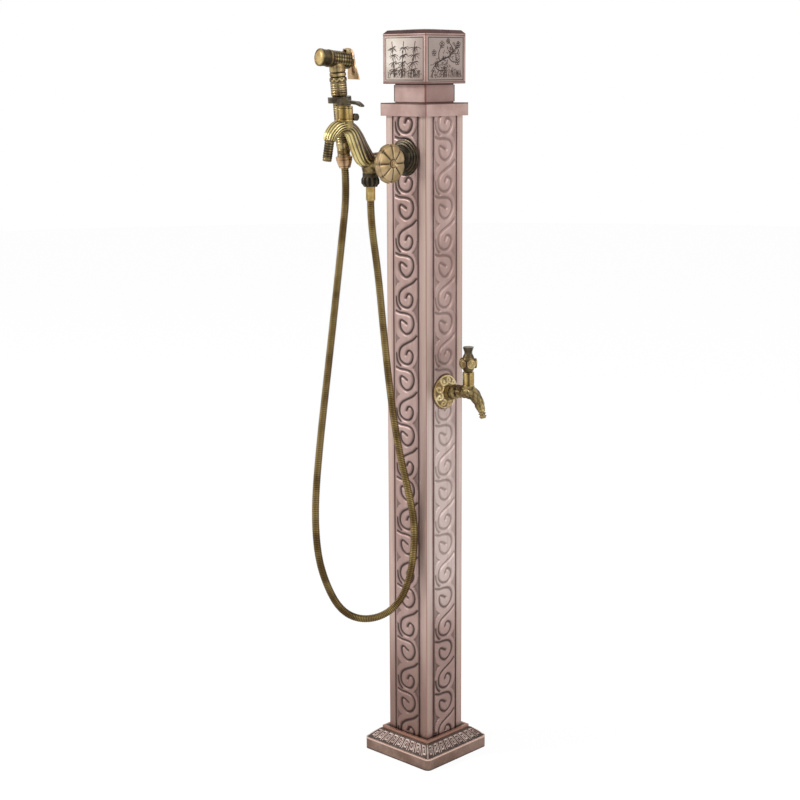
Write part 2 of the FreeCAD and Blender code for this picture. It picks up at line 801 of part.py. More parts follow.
def main_tap():
    """Everything that is screwed to the swan-neck casting."""
    c = cell
    nose = swan_neck()
    lean = math.degrees(math.atan2(0.20, 0.98))
    nozzle = barbed(c.nozzle_radius, c.nozzle_bore, c.nozzle_length, 5, "spout_nozzle")
    place(nozzle, nose.x, nose.y, nose.z, FreeCAD.Rotation(Vector(1, 0, 0), 180 - lean))

    depth = c.rosette_depth
    rim = c.rosette_radius
    hole = c.shank_radius + 0.3
    front = [(hole, 0), (rim - 1.5, 0), (rim, 1.5), (rim - 0.4, 3.0), (rim - 2.4, 3.6),
             (rim - 3.0, 5.6), (rim - 5.0, 6.2), (rim - 5.8, 8.6), (rim - 8.0, 9.4),
             (rim - 8.8, depth - 3), (rim - 11.0, depth - 1.2), (hole + 1.5, depth), (hole, depth)]
    rosette = turned(front, "main_rosette")
    wall = c.column_half + c.gasket_thick
    place(rosette, 0, -wall, c.tap_height, TO_FRONT)

    play = c.spindle_play
    seat = c.wheel_boss_end
    shaft = c.spindle_radius
    bonnet_end = c.wheel_back - 0.6
    wheel_bonnet = turned([(c.cartridge_radius, seat), (c.block_radius - 1, seat),
                           (c.block_radius - 1, seat + 4), (c.block_radius - 3, seat + 5),
                           (c.block_radius - 3, bonnet_end - 3), (shaft + 4, bonnet_end),
                           (shaft + play, bonnet_end), (shaft + play, bonnet_end - 3),
                           (c.cartridge_radius, bonnet_end - 3)], "wheel_bonnet")
    place(wheel_bonnet, 0, -c.block_reach, c.wheel_height, TO_RIGHT)
    cartridge = c.cartridge_radius - play
    wheel_cartridge = turned([(shaft + play, 6), (cartridge, 6), (cartridge, bonnet_end - 3),
                              (shaft + play, bonnet_end - 3)], "wheel_cartridge")
    place(wheel_cartridge, 0, -c.block_reach, c.wheel_height, TO_RIGHT)
    spindle_end = c.wheel_front - 5
    wheel_spindle = rod(shaft, 6, spindle_end, "wheel_spindle")
    place(wheel_spindle, 0, -c.block_reach, c.wheel_height, TO_RIGHT)

    wheel()

    bonnet_top = c.bonnet_top
    base = c.bonnet_base
    top_bonnet = turned([(c.cartridge_radius, base), (c.bonnet_radius, base),
                         (c.bonnet_radius, bonnet_top - 1), (c.bonnet_radius - 1, bonnet_top),
                         (shaft + play, bonnet_top), (shaft + play, bonnet_top - 3),
                         (c.cartridge_radius, bonnet_top - 3)], "top_bonnet")
    place(top_bonnet, 0, -c.bonnet_reach)
    top_cartridge = turned([(shaft + play, base - 6.5), (cartridge, base - 6.5),
                            (cartridge, bonnet_top - 3), (shaft + play, bonnet_top - 3)],
                           "top_cartridge")
    place(top_cartridge, 0, -c.bonnet_reach)
    hub_base = bonnet_top + 0.4
    top_spindle = rod(shaft, base - 6.5, hub_base + c.lever_hub_height - 4, "top_spindle")
    place(top_spindle, 0, -c.bonnet_reach)
    lever(hub_base)

    outlet = c.outlet_height
    nut_base = c.hose_nut_base
    wide = c.hose_nut_radius
    waist = c.hose_nut_waist
    nut = turned([(0, nut_base), (waist - 1, nut_base), (waist, nut_base + 2.4),
                  (wide, nut_base + 5), (wide, nut_base + 11), (waist + 0.6, nut_base + 14),
                  (waist + 0.6, outlet), (0, outlet)])
    place(nut, 0, -c.block_reach)
    thread = place(rod(c.tail_radius + 0.02, outlet - 6, outlet + 1), 0, -c.block_reach)
    way = place(rod(c.tail_bore, nut_base - 1, outlet), 0, -c.block_reach)
    cut_away(nut, [thread, way], "hose_nut_tap")
    ferrule = tube(c.ferrule_radius, c.hose_bore, c.ferrule_base, nut_base, "hose_ferrule_tap")
    place(ferrule, 0, -c.block_reach)


def polygon(radius, sides, turn=0.0):
    """A regular outline whose corners lie on the radius."""
    corners = []
    for index in range(sides):
        angle = math.radians(turn) + 2 * math.pi * index / sides
        corners.append((radius * math.cos(angle), radius * math.sin(angle)))
    return corners


def wheel():
    """The domed hand wheel: eight petals between eight spoke grooves."""
    c = cell
    rim = c.wheel_radius
    back = c.wheel_back
    front = c.wheel_front
    shaft = c.spindle_radius + 0.02
    bore_end = front - 5
    body = turned([(shaft, back), (8, back), (9, back + 2), (rim - 5, back + 3.4),
                   (rim - 1, back + 4.4), (rim, back + 6.4), (rim - 1, back + 8.4),
                   (rim - 7, front - 3.2, 0.5), (8.5, front - 1, 0.5), (6, front - 1.6),
                   (5, front - 0.4), (0, front - 0.4), (0, bore_end), (shaft, bore_end)])
    groove = outline(body, "XZ_Plane", [(8, front - 2.6), (rim - 5, back + 7.4),
                                        (rim + 2, back + 5), (rim + 2, front + 2),
                                        (8, front + 2)])
    slot = body.newObject("PartDesign::Pocket", "spoke")
    slot.Profile = groove
    slot.Midplane = True
    bind(slot, "Length", as_size(1.8))
    notch = outline(body, "XY_Plane", [(rim - 2.6, 0), (rim + 2, -3.2), (rim + 2, 3.2)], back - 2)
    gap = body.newObject("PartDesign::Pocket", "notch")
    gap.Profile = notch
    gap.Reversed = True
    bind(gap, "Length", front - back + 4)
    ring = body.newObject("PartDesign::PolarPattern", "ring")
    ring.Originals = [slot, gap]
    ring.Axis = (groove, ["V_Axis"])
    ring.Angle = 360.0
    ring.Occurrences = 8
    body.Tip = ring
    keep(body, "handwheel")
    place(body, 0, -c.block_reach, c.wheel_height, TO_RIGHT)
    screw = turned([(0, front - 0.4), (3.6, front - 0.4), (3.6, front + 0.8),
                    (2.6, front + 1.4), (1.6, front + 0.9), (0, front + 0.9)], "handwheel_screw")
    place(screw, 0, -c.block_reach, c.wheel_height, TO_RIGHT)


def lever(hub_base):
    """The quarter-turn lever: an octagonal hub and a drooping tongue along +X."""
    c = cell
    top = hub_base + c.lever_hub_height
    hub = padded([polygon(c.lever_hub_radius, 8, 22.5)], hub_base, top - 2.5)
    crown = hub.newObject("PartDesign::AdditiveLoft", "crown")
    crown.Profile = outline(hub, "XY_Plane", polygon(c.lever_hub_radius, 8, 22.5), top - 2.5)
    crown.Sections = [outline(hub, "XY_Plane", polygon(c.lever_hub_radius * 0.6, 8, 22.5), top)]
    crown.Ruled = True
    reach = c.lever_reach
    tongue = new_body()
    side = outline(tongue, "XZ_Plane", [(0, hub_base + 4), (reach - 9, hub_base + 1.4),
                                        (reach, hub_base - 1.4), (reach + 0.6, hub_base + 0.6),
                                        (reach - 9, hub_base + 6.2, 0.4), (0, hub_base + 8.4)])
    blade = tongue.newObject("PartDesign::Pad", "blade")
    blade.Profile = side
    blade.Midplane = True
    bind(blade, "Length", as_size(7.5))
    socket = rod(c.spindle_radius + 0.02, hub_base - 1, top - 4)
    solid = cut_away(join_all([hub, tongue]), [socket], "top_lever")
    place(solid, 0, -c.bonnet_reach)


def sprayer_frame():
    """Where the sprayer's own axis stands: it leans away from the column."""
    s = read
    base = Vector(s["sprayer_x"], s["sprayer_y"], s["sprayer_z"])
    return FreeCAD.Placement(base, FreeCAD.Rotation(Vector(1, 0, 0), s["sprayer_lean"]))


def in_sprayer(thing, y=0.0, z=0.0, turn=None):
    """Place a sub-part that is drawn in the sprayer's own frame."""
    rotation = turn if turn else FreeCAD.Rotation()
    local = FreeCAD.Placement(Vector(0, as_size(y).value, as_size(z).value), rotation)
    thing.Placement = sprayer_frame().multiply(local)
    return thing


def head_frame():
    """Where the sprayer's head stands: nodding up at the front, and turned on the handle."""
    s = read
    turn = FreeCAD.Rotation(Vector(0, 0, 1), -s["head_turn"])
    nod = FreeCAD.Rotation(Vector(1, 0, 0), -s["head_nod"])
    local = FreeCAD.Placement(Vector(0, 0, s["head_height"]), turn.multiply(nod))
    return sprayer_frame().multiply(local)


def in_head(thing, y=0.0, z=0.0, turn=None):
    """Place a sub-part that is drawn about the middle of the sprayer's head."""
    rotation = turn if turn else FreeCAD.Rotation()
    local = FreeCAD.Placement(Vector(0, as_size(y).value, as_size(z).value), rotation)
    thing.Placement = head_frame().multiply(local)
    return thing


def sprayer():
    """The hand sprayer: grip, head, spray plate, thumb lever, valve pin and spring."""
    c = cell
    nut_top = c.nut_height
    thread = 6.0
    nut = turned([(c.hose_bore, 0), (c.nut_foot_radius, 0), (c.nut_top_radius, nut_top - 5),
                  (c.nut_top_radius, nut_top - 1), (c.nut_top_radius - 1, nut_top),
                  (thread + 0.02, nut_top), (thread + 0.02, nut_top - 8),
                  (c.hose_bore, nut_top - 8)], "hose_nut_sprayer")
    in_sprayer(nut)

    grip = c.grip_radius
    handle = c.handle_radius
    low = c.grip_base
    shoulder = c.handle_base
    bore = 4.0
    corners = [(bore, nut_top - 7), (thread, nut_top - 7), (thread, nut_top),
               (c.spray_tail_radius, nut_top), (c.spray_tail_radius, low - 2), (grip, low)]
    ribs = 9
    step = (shoulder - low - 8) / ribs
    for rib in range(ribs):
        base = low + 3 + rib * step
        corners += [(grip, base), (grip - 1.0, base + step * 0.3), (grip - 1.0, base + step * 0.6),
                    (grip, base + step * 0.85)]
    corners += [(grip, shoulder - 2.5), (handle, shoulder)]
    for ring_base in (shoulder + 5, shoulder + 9, shoulder + 13):
        corners += [(handle, ring_base), (handle - 1.0, ring_base + 0.8),
                    (handle - 1.0, ring_base + 2.2), (handle, ring_base + 3)]
    collar = shoulder + 21
    corners += [(handle, collar), (handle - 1.6, collar + 1.5), (handle - 1.6, collar + 4),
                (handle, collar + 5.5), (handle, collar + 10), (handle - 1.6, collar + 11.5),
                (handle - 1.6, collar + 14), (handle - 0.4, collar + 15.5),
                (handle - 0.4, c.handle_top), (handle - 2.5, c.handle_top + 5),
                (bore, c.handle_top + 5)]
    stem = turned(corners)
    in_sprayer(stem)

    front = c.head_front
    back = c.head_back
    radius = c.head_radius
    head = turned([(0, -back), (radius - 2, -back), (radius - 0.8, 1 - back), (radius - 0.8, 5),
                   (radius, 6), (radius, 12), (radius - 1, 13), (radius - 1, 18),
                   (radius, 19), (radius, front), (0, front)])
    in_head(head, turn=TO_FRONT)
    chamber = turned([(0, 5), (radius - 3, 5), (radius - 3, front - 4), (radius - 2, front - 4),
                      (radius - 2, front + 1), (0, front + 1)])
    in_head(chamber, turn=TO_FRONT)
    valve_way = rod(c.pin_radius + c.pin_play, -back - 1, 6)
    in_head(valve_way, turn=TO_FRONT)
    spring_way = rod(4.6, -back - 1, 6 - back)
    in_head(spring_way, turn=TO_FRONT)
    water = rod(bore, nut_top - 8, c.head_height)
    in_sprayer(water)
    ears = trigger_ears()
    pivot_y, pivot_z = pivot_place()
    pin_hole = rod(c.pin_radius + 0.02, -c.trigger_width, c.trigger_width)
    in_head(pin_hole, y=pivot_y, z=pivot_z, turn=TO_RIGHT)
    cut_away(join_all([stem, head] + ears), [chamber, valve_way, spring_way, water, pin_hole],
             "sprayer_body")

    plate = turned([(0, front - 3.6), (radius - 2.1, front - 3.6), (radius - 2.1, front - 0.6),
                    (radius - 4, front + 0.6), (3, front + 1.1, 0.2), (0, front + 1.1)],
                   "sprayer_face")
    in_head(plate, turn=TO_FRONT)
    pin = rod(c.pin_radius, -c.ear_reach, c.ear_reach, "trigger_pin")
    in_head(pin, y=pivot_y, z=pivot_z, turn=TO_RIGHT)
    thumb_lever(pivot_y, pivot_z)
    pin_head = c.pin_radius + 1.4
    valve_pin = turned([(0, -back - 3.4), (pin_head, -back - 3.4), (pin_head, -back - 1.6),
                        (c.pin_radius, -back - 1.6), (c.pin_radius, 9), (0, 9)],
                       "sprayer_valve_pin")
    in_head(valve_pin, turn=TO_FRONT)
    spring = tube(4.0, 2.6, -back - 1.4, 5.8 - back, "trigger_spring")
    in_head(spring, turn=TO_FRONT)


def pivot_place():
    """The thumb lever's pivot, above the back of the head."""
    c = cell
    return c.head_back - 5.0, c.head_radius + 2.4


def trigger_ears():
    """Two lugs on the head that carry the lever's pin."""
    c = cell
    pivot_y, pivot_z = pivot_place()
    ears = []
    for low, high in ((-c.ear_reach, -c.ear_gap), (c.ear_gap, c.ear_reach)):
        ear = padded([[(pivot_y - 3.4, pivot_z - 6), (pivot_y + 3.4, pivot_z - 6),
                       (pivot_y + 3.4, pivot_z), (pivot_y - 3.4, pivot_z, 3.3)]],
                     low, high, role="YZ_Plane")
        in_head(ear)
        ears.append(ear)
    return ears


def thumb_lever(pivot_y, pivot_z):
    """A curved plate that hangs behind the head and presses the valve pin."""
    c = cell
    thick = c.trigger_thick
    top = pivot_z + 2.6
    rest = c.head_back + 3.1
    tip = rest + c.trigger_flare
    low = -c.trigger_drop
    profile = [(pivot_y - 3.0, pivot_z), (pivot_y, pivot_z - 2.0), (pivot_y + 6.4, pivot_z - 2.2),
               (rest + 0.2, pivot_z - 9), (rest + 1.0, -4), (tip, low),
               (tip + thick + 0.2, low + 0.8), (rest + thick + 1.8, -2),
               (rest + thick + 0.6, pivot_z - 5), (pivot_y + 3.0, top, 1.6), (pivot_y, top)]
    hub_half = c.ear_gap - c.slip
    blade = padded([profile], -hub_half, hub_half, role="YZ_Plane")
    paddle = new_body()
    sections = []
    for half, back, height in ((c.trigger_width / 3.2, rest + 0.6, 3.0),
                               (c.trigger_width / 2.8, rest + 1.2, -4.0),
                               (c.trigger_width / 2, tip, low)):
        sections.append(outline(paddle, "XY_Plane", [(-half, back), (half, back),
                                                     (half, back + thick), (-half, back + thick)],
                                height))
    flare = paddle.newObject("PartDesign::AdditiveLoft", "flare")
    flare.Profile = sections[0]
    flare.Sections = sections[1:]
    flare.Ruled = True
    in_head(blade)
    in_head(paddle)
    hole = rod(c.pin_radius + c.pin_play, -c.ear_reach, c.ear_reach)
    in_head(hole, y=pivot_y, z=pivot_z, turn=TO_RIGHT)
    cut_away(join_all([blade, paddle]), [hole], "trigger")


def holder():
    """The open cup that carries the sprayer, on a half strap behind the bonnet."""
    s = read
    frame = sprayer_frame()
    cup_high = s["handle_base"] - 2.4
    cup_low = cup_high - s["cup_tall"]
    inner = s["grip_radius"] + 0.35
    outer = inner + s["cup_wall"]
    cup = Part.makeCylinder(outer, cup_high - cup_low, Vector(0, 0, cup_low))
    bore = Part.makeCylinder(inner, cup_high - cup_low + 2, Vector(0, 0, cup_low - 1))
    slot_half = s["spray_tail_radius"] + 0.8
    slot = Part.makeBox(2 * outer, 2 * slot_half, cup_high - cup_low + 2,
                        Vector(-2 * outer, -slot_half, cup_low - 1))
    cup = cup.cut([bore, slot])
    cup.Placement = frame

    bonnet = Vector(0, -s["bonnet_reach"], 0)
    base = s["bonnet_base"] + 1
    strap_inner = s["bonnet_radius"] + 0.05
    band = Part.makeCylinder(strap_inner + 2.4, 8, bonnet + Vector(0, 0, base))
    band_bore = Part.makeCylinder(strap_inner, 10, bonnet + Vector(0, 0, base - 1))
    half_space = Part.makeBox(30, 60, 12, Vector(1.5, -s["bonnet_reach"] - 30, base - 2))
    front_space = Part.makeBox(60, 30, 12, Vector(-30, -s["bonnet_reach"] - 34, base - 2))
    band = band.cut([band_bore, half_space, front_space])
    lug = Part.makeBox(3.0, 7.0, 8, Vector(-1.5, -s["bonnet_reach"] + strap_inner + 0.4, base))
    spot = frame.multVec(Vector(0, 0, (cup_low + cup_high) / 2))
    toward = spot - bonnet
    toward.z = 0
    distance = toward.Length
    toward.normalize()
    arm_height = frame.multVec(Vector(0, 0, cup_high)).z - base - 2
    arm = Part.makeBox(distance - strap_inner - inner - 1.6, 6, arm_height,
                       Vector(strap_inner + 0.8, -3, 0))
    arm.Placement = FreeCAD.Placement(
        bonnet + Vector(0, 0, base),
        FreeCAD.Rotation(Vector(0, 0, 1), math.degrees(math.atan2(toward.y, toward.x))))
    body = cup.fuse([band, arm, lug])
    screw_y = -s["bonnet_reach"] + strap_inner + 4.4
    screw_hole = Part.makeCylinder(1.6, 6, Vector(-3, screw_y, base + 4), Vector(1, 0, 0))
    nut_way = Part.makeCylinder(s["nut_top_radius"] + 0.6, cup_low - s["grip_base"],
                                Vector(0, 0, s["grip_base"]))
    nut_way.Placement = frame
    body = body.cut([screw_hole, nut_way])
    from_shape(body, "sprayer_holder")

    stem = Part.makeCylinder(1.58, 4.5, Vector(-1.5, screw_y, base + 4), Vector(1, 0, 0))
    knob = Part.makeCylinder(5.2, 5.0, Vector(1.5, screw_y + 1.2, base + 4), Vector(1, 0, 0))
    from_shape(stem.fuse(knob), "holder_screw")


def rounded_path(points):
    """Straight runs joined by tangent arcs, each as large as its two runs allow."""
    edges = []
    radii = []
    start = points[0]
    for before, corner, after in zip(points, points[1:], points[2:]):
        to_corner = corner - before
        from_corner = after - corner
        run = min(to_corner.Length, from_corner.Length)
        turn = to_corner.getAngle(from_corner)
        trim = 0.45 * run
        radii.append(trim / math.tan(turn / 2))
        to_corner.normalize()
        from_corner.normalize()
        arc_start = corner - to_corner * trim
        arc_end = corner + from_corner * trim
        inward = from_corner - to_corner
        inward.normalize()
        sink = radii[-1] / math.cos(turn / 2) - radii[-1]
        edges.append(Part.LineSegment(start, arc_start).toShape())
        edges.append(Part.Arc(arc_start, corner + inward * sink, arc_end).toShape())
        start = arc_end
    edges.append(Part.LineSegment(start, points[-1]).toShape())
    return Part.Wire(edges), radii


def spots_along(wire, distances):
    """Points and directions at distances from the wire's start."""
    spots = []
    edges = wire.OrderedEdges
    edge_index = 0
    passed = 0.0
    for distance in distances:
        while distance > passed + edges[edge_index].Length and edge_index < len(edges) - 1:
            passed += edges[edge_index].Length
            edge_index += 1
        edge = edges[edge_index]
        along = min(distance - passed, edge.Length)
        parameter = edge.getParameterByLength(along)
        spots.append((edge.valueAt(parameter), edge.tangentAt(parameter)))
    return spots


def hose():
    """The spiral-wound metal hose: ribs outside, a smooth bore inside."""
    s = read
    start = sprayer_frame().Base
    end = Vector(0, -s["block_reach"], s["ferrule_base"])
    first = sprayer_frame().multVec(Vector(0, 0, -35))
    stretch = s["tap_height"] / ROUTE_TAP_HEIGHT
    route = [Vector(x, y, z * stretch) for x, y, z in HOSE_ROUTE]
    points = [start, first] + route + [end]
    wire, radii = rounded_path(points)
    length = wire.Length
    print("hose length", round(length, 1), "radii", [round(radius) for radius in radii])

    outer = s["hose_radius"]
    inner = outer - 0.9
    straight = 2 * outer
    ribs = int(s["hose_ribs"])
    pitch = (length - 2 * straight) / ribs
    distances = [0.0]
    sizes = [inner]
    for rib in range(ribs):
        base = straight + rib * pitch
        distances += [base + pitch * share for share in (0.1, 0.3, 0.8, 1.0)]
        sizes += [inner, outer, outer, inner]
    distances.append(length)
    sizes.append(inner)
    rings = []
    for (spot, way), radius in zip(spots_along(wire, distances), sizes):
        side = Vector(1, 0, 0) - way * way.x
        side.normalize()
        ring = Part.Circle(spot, way, radius)
        ring.XAxis = side
        rings.append(Part.Wire([ring.toShape()]))
    ribbed = Part.makeLoft(rings, True, True)
    print("hose volume", round(ribbed.Volume), "of", round(math.pi * outer ** 2 * length))
    bore_ring = Part.Wire([Part.Circle(points[0], points[1] - points[0], s["hose_bore"]).toShape()])
    bore = wire.makePipeShell([bore_ring], True, False)
    from_shape(ribbed.cut(bore), "hose")


def bib_tap():
    """The small tap: rosette, cast body with a curved spout, bonnet, handle and its cap."""
    c = cell
    s = read
    depth = c.bib_rosette_depth
    rim = c.bib_rosette_radius
    hole = c.tail_radius + 0.3
    rosette = turned([(hole, 0), (rim - 1, 0), (rim, 1), (rim - 0.6, 2.6), (rim - 3.5, 3.2),
                      (rim - 4.5, 4.8), (rim - 9, depth - 2.6, 0.6), (rim - 11, depth - 1.0),
                      (hole + 1, depth), (hole, depth)], "bib_rosette")
    wall = c.column_half + c.gasket_thick
    place(rosette, wall, 0, c.bib_height, TO_RIGHT)

    level = s["bib_height"]
    reach = s["bib_bonnet_reach"]
    face = s["column_half"] + s["gasket_thick"]
    start = face + s["bib_rosette_depth"]
    # Centre (along, above the rosette's centre), direction, half height and half width
    barrel = [((start + 8, 1.5), (1.0, 0.12), 8.0, 8.0),
              ((start + 16, 3.2), (1.0, 0.14), 9.6, 9.4),
              ((start + 25, 5.0), (1.0, 0.10), 8.4, 8.6),
              ((reach - 5, 6.2), (1.0, 0.02), 10.2, 10.2),
              ((reach + 6, 5.2), (0.92, -0.35), 9.8, 9.6),
              ((reach + 15, -0.5), (0.72, -0.69), 8.4, 8.0),
              ((reach + 22, -9.5), (0.50, -0.86), 6.8, 6.6),
              ((reach + 26, -18.5), (0.32, -0.95), 5.4, 5.4)]
    stations = []
    for (along, rise), (run, climb), tall, wide in barrel:
        stations.append((Vector(along, 0, level + rise), Vector(run, 0, climb), tall, wide))
    casting = bent_casting(stations, Vector(0, 1, 0))
    right = Vector(1, 0, 0)
    up = Vector(0, 0, 1)
    tail_base = Vector(s["riser_bore"] + 10, 0, level)
    tail = Part.makeCylinder(s["tail_radius"], start - tail_base.x + 2, tail_base, right)
    collar = Part.makeCylinder(s["tail_radius"] + 0.9, 6, Vector(start + 0.3, 0, level), right)
    shoulder = Part.makeCone(s["tail_radius"] - 1, 8, 5, Vector(start + 5, 0, level), right)
    seat = Part.makeCylinder(s["bib_bonnet_radius"] + 0.6, s["bib_bonnet_base"] - level - 4,
                             Vector(reach, 0, level + 4), up)
    body = casting.fuse([tail, collar, shoulder, seat])
    bore = Part.makeCylinder(s["tail_bore"] - 1, reach - tail_base.x, tail_base - right, right)
    cartridge_bore = Part.makeCylinder(s["bib_cartridge_radius"], s["bib_bonnet_base"] - level,
                                       Vector(reach, 0, level + 2), up)
    tip = stations[-1][0]
    tip_way = Vector(0.32, 0, -0.95)
    tip_way.normalize()
    spout_bore = Part.makeCylinder(s["bib_nozzle_bore"], 20, tip - tip_way * 18, tip_way)
    above_seat = Part.makeCylinder(s["bib_bonnet_radius"] + 8, 12,
                                   Vector(reach, 0, s["bib_bonnet_base"]), up)
    from_shape(body.cut([bore, cartridge_bore, spout_bore, above_seat]), "bib_tap_body")

    lean = math.degrees(math.atan2(0.32, 0.95))
    nozzle = barbed(c.bib_nozzle_radius, c.bib_nozzle_bore, c.bib_nozzle_length, 2, "bib_nozzle")
    place(nozzle, tip.x, tip.y, tip.z, FreeCAD.Rotation(Vector(0, 1, 0), 180 - lean))

    play = c.spindle_play
    shaft = c.spindle_radius - 0.5
    base = c.bib_bonnet_base
    top = c.bib_bonnet_top
    radius = c.bib_bonnet_radius
    bonnet = turned([(c.bib_cartridge_radius, base), (radius, base), (radius, top - 0.8),
                     (radius - 0.8, top), (shaft + play, top), (shaft + play, top - 3),
                     (c.bib_cartridge_radius, top - 3)], "bib_bonnet")
    place(bonnet, c.bib_bonnet_reach)
    low = c.bib_height + 3
    cartridge = turned([(shaft + play, low), (c.bib_cartridge_radius - play, low),
                        (c.bib_cartridge_radius - play, top - 3), (shaft + play, top - 3)],
                       "bib_cartridge")
    place(cartridge, c.bib_bonnet_reach)
    handle_base = c.bib_handle_base
    spindle = rod(shaft, low, handle_base + 8, "bib_spindle")
    place(spindle, c.bib_bonnet_reach)

    handle_top = c.bib_handle_top
    wide = c.bib_handle_radius
    knob = turned([(shaft + 0.02, handle_base), (7.5, handle_base), (wide - 3, handle_base + 4),
                   (wide, handle_base + 10, 0.8), (wide - 0.6, handle_base + 17, 0.8),
                   (wide - 5, handle_top - 2.5, 0.8), (6.0, handle_top), (0, handle_top),
                   (0, handle_base + 8), (shaft + 0.02, handle_base + 8)])
    lobe = outline(knob, "XY_Plane", [(wide - 2.2, 0), (wide + 4, -5.5), (wide + 4, 5.5)],
                   handle_base - 1)
    flute = knob.newObject("PartDesign::Pocket", "flute")
    flute.Profile = lobe
    flute.Reversed = True
    bind(flute, "Length", handle_top - handle_base + 2)
    ring = knob.newObject("PartDesign::PolarPattern", "ring")
    ring.Originals = [flute]
    ring.Axis = (lobe, ["N_Axis"])
    ring.Angle = 360.0
    ring.Occurrences = 6
    knob.Tip = ring
    keep(knob, "bib_handle")
    place(knob, c.bib_bonnet_reach)
    cap_top = c.bib_cap_top
    nut = padded([polygon(c.bib_cap_radius * 0.75, 6)], handle_top, handle_top + 3)
    top_block = nut.newObject("PartDesign::AdditiveLoft", "top")
    top_block.Profile = outline(nut, "XY_Plane", polygon(c.bib_cap_radius * 0.75, 6), handle_top + 3)
    top_block.Sections = [outline(nut, "XY_Plane", polygon(c.bib_cap_radius, 6), cap_top - 1.5)]
    top_block.Ruled = True
    crown = nut.newObject("PartDesign::Pad", "crown")
    crown.Profile = outline(nut, "XY_Plane", polygon(c.bib_cap_radius, 6), cap_top - 1.5)
    bind(crown, "Length", as_size(1.5))
    keep(nut, "bib_handle_cap")
    place(nut, c.bib_bonnet_reach)


def write_steps():
    """Check every feature, then write each sub-part to its own file."""
    doc.recompute()
    faults = [item.Label for item in doc.Objects
              if "Invalid" in item.State or "Error" in item.State]
    if faults:
        raise RuntimeError("failed features: " + ", ".join(faults))
    os.makedirs("parts", exist_ok=True)
    for piece in pieces:
        shape = piece.Shape
        if shape.isNull() or not shape.isValid():
            raise RuntimeError("bad shape: " + piece.Label)
        shape.exportStep(f"parts/{piece.Label}.step")
        print(piece.Label, len(shape.Solids), "solids", round(shape.Volume / 1000, 2), "cm3")


foot()
column()
cap()
water_way()
gaskets()
main_tap()
holder()
sprayer()
hose()
bib_tap()
write_steps()
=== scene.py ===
# %% [markdown]
# # A garden water column in red copper
#
# The object is a square copper column with a swan-neck tap, a hand sprayer on a metal
# hose and a small bib tap.  A CAD program has already made its solids, and they stay
# where they are.  This notebook gives them their finish, and puts finer pieces over the
# ones whose casting, carving or knurling shows.  Everything is in metres.

# %% Load the solids
import math

import bmesh
import bpy
import numpy as np
from mathutils import Matrix, Vector


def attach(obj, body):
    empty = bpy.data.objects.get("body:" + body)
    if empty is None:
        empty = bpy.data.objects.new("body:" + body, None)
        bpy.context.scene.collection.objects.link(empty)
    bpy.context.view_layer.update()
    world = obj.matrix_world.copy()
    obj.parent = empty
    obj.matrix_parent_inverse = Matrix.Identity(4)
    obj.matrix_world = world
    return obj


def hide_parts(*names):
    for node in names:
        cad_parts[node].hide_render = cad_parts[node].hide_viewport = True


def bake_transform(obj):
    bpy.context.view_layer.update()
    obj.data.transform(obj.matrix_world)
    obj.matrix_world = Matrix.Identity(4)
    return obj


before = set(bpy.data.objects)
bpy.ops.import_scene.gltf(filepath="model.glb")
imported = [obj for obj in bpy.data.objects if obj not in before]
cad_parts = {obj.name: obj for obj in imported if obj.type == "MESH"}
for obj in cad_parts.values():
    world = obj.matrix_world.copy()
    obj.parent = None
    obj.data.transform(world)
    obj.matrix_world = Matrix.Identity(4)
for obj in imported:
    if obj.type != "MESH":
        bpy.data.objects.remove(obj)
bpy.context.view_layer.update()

MM = 0.001
print("CAD nodes:", len(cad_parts))

# %% [markdown]
# ## The camera
#
# The camera's place was worked out from the column's straight edges, whose real size
# is known.  It looks a little down on the corner between the front face (-Y) and the
# right-hand face (+X), so both faces show.

# %% Place the camera
AZIMUTH = math.radians(43.82)
PITCH = math.radians(11.47)
ROLL = math.radians(-0.297)
CAMERA_PLACE = Vector((1.6797, -1.8057, 1.0662))
LENS = 73.86

back = Vector((math.sin(AZIMUTH) * math.cos(PITCH),
               -math.cos(AZIMUTH) * math.cos(PITCH), math.sin(PITCH)))
level = Vector((math.cos(AZIMUTH), math.sin(AZIMUTH), 0))
upward = back.cross(level)
across = level * math.cos(ROLL) + upward * math.sin(ROLL)
above = upward * math.cos(ROLL) - level * math.sin(ROLL)

camera_data = bpy.data.cameras.new("camera")
camera_data.lens = LENS
camera = bpy.data.objects.new("camera", camera_data)
camera.matrix_world = Matrix.LocRotScale(
    CAMERA_PLACE, Matrix((across, above, back)).transposed(), None)
bpy.context.collection.objects.link(camera)
bpy.context.scene.camera = camera
print("camera at", [round(v, 3) for v in camera.location])

# %% [markdown]
# ## Small tools for shader nodes
#
# Floor, sky and metals are all wired from shader nodes.  One helper makes a node and
# fills its inputs, and the others do sums with them.

# %% Helpers for shader nodes
def add_node(tree, kind, inputs=None, **settings):
    """A node with its settings, and its inputs given as values or as sockets."""
    made = tree.nodes.new(kind)
    for name, value in settings.items():
        setattr(made, name, value)
    for key, value in (inputs or {}).items():
        if isinstance(value, bpy.types.NodeSocket):
            tree.links.new(value, made.inputs[key])
        else:
            made.inputs[key].default_value = value
    return made


def maths(tree, operation, first, second=0.0):
    return add_node(tree, "ShaderNodeMath", {0: first, 1: second},
                    operation=operation).outputs[0]


def times(tree, first, second):
    return maths(tree, "MULTIPLY", first, second)


print("node helpers ready")

# %% [markdown]
# ## Floor, sky and lamps
#
# A pale floor and a white sky stand for a photographer's paper sweep.  Metal only looks
# like metal when it mirrors something, so the sky is white for reflections too, and two
# soft lamps make one side of every round form lighter than the other.

# %% Floor, sky and lamps
WHITE = (1, 1, 1, 1)
PAPER_TONE = (0.97, 0.97, 0.97, 1)
PAPER_GLOW, GLOW_SHARE = 1.06, 0.82
SKY_LIGHT = 0.62

scene = bpy.context.scene
scene.view_settings.view_transform = "Standard"

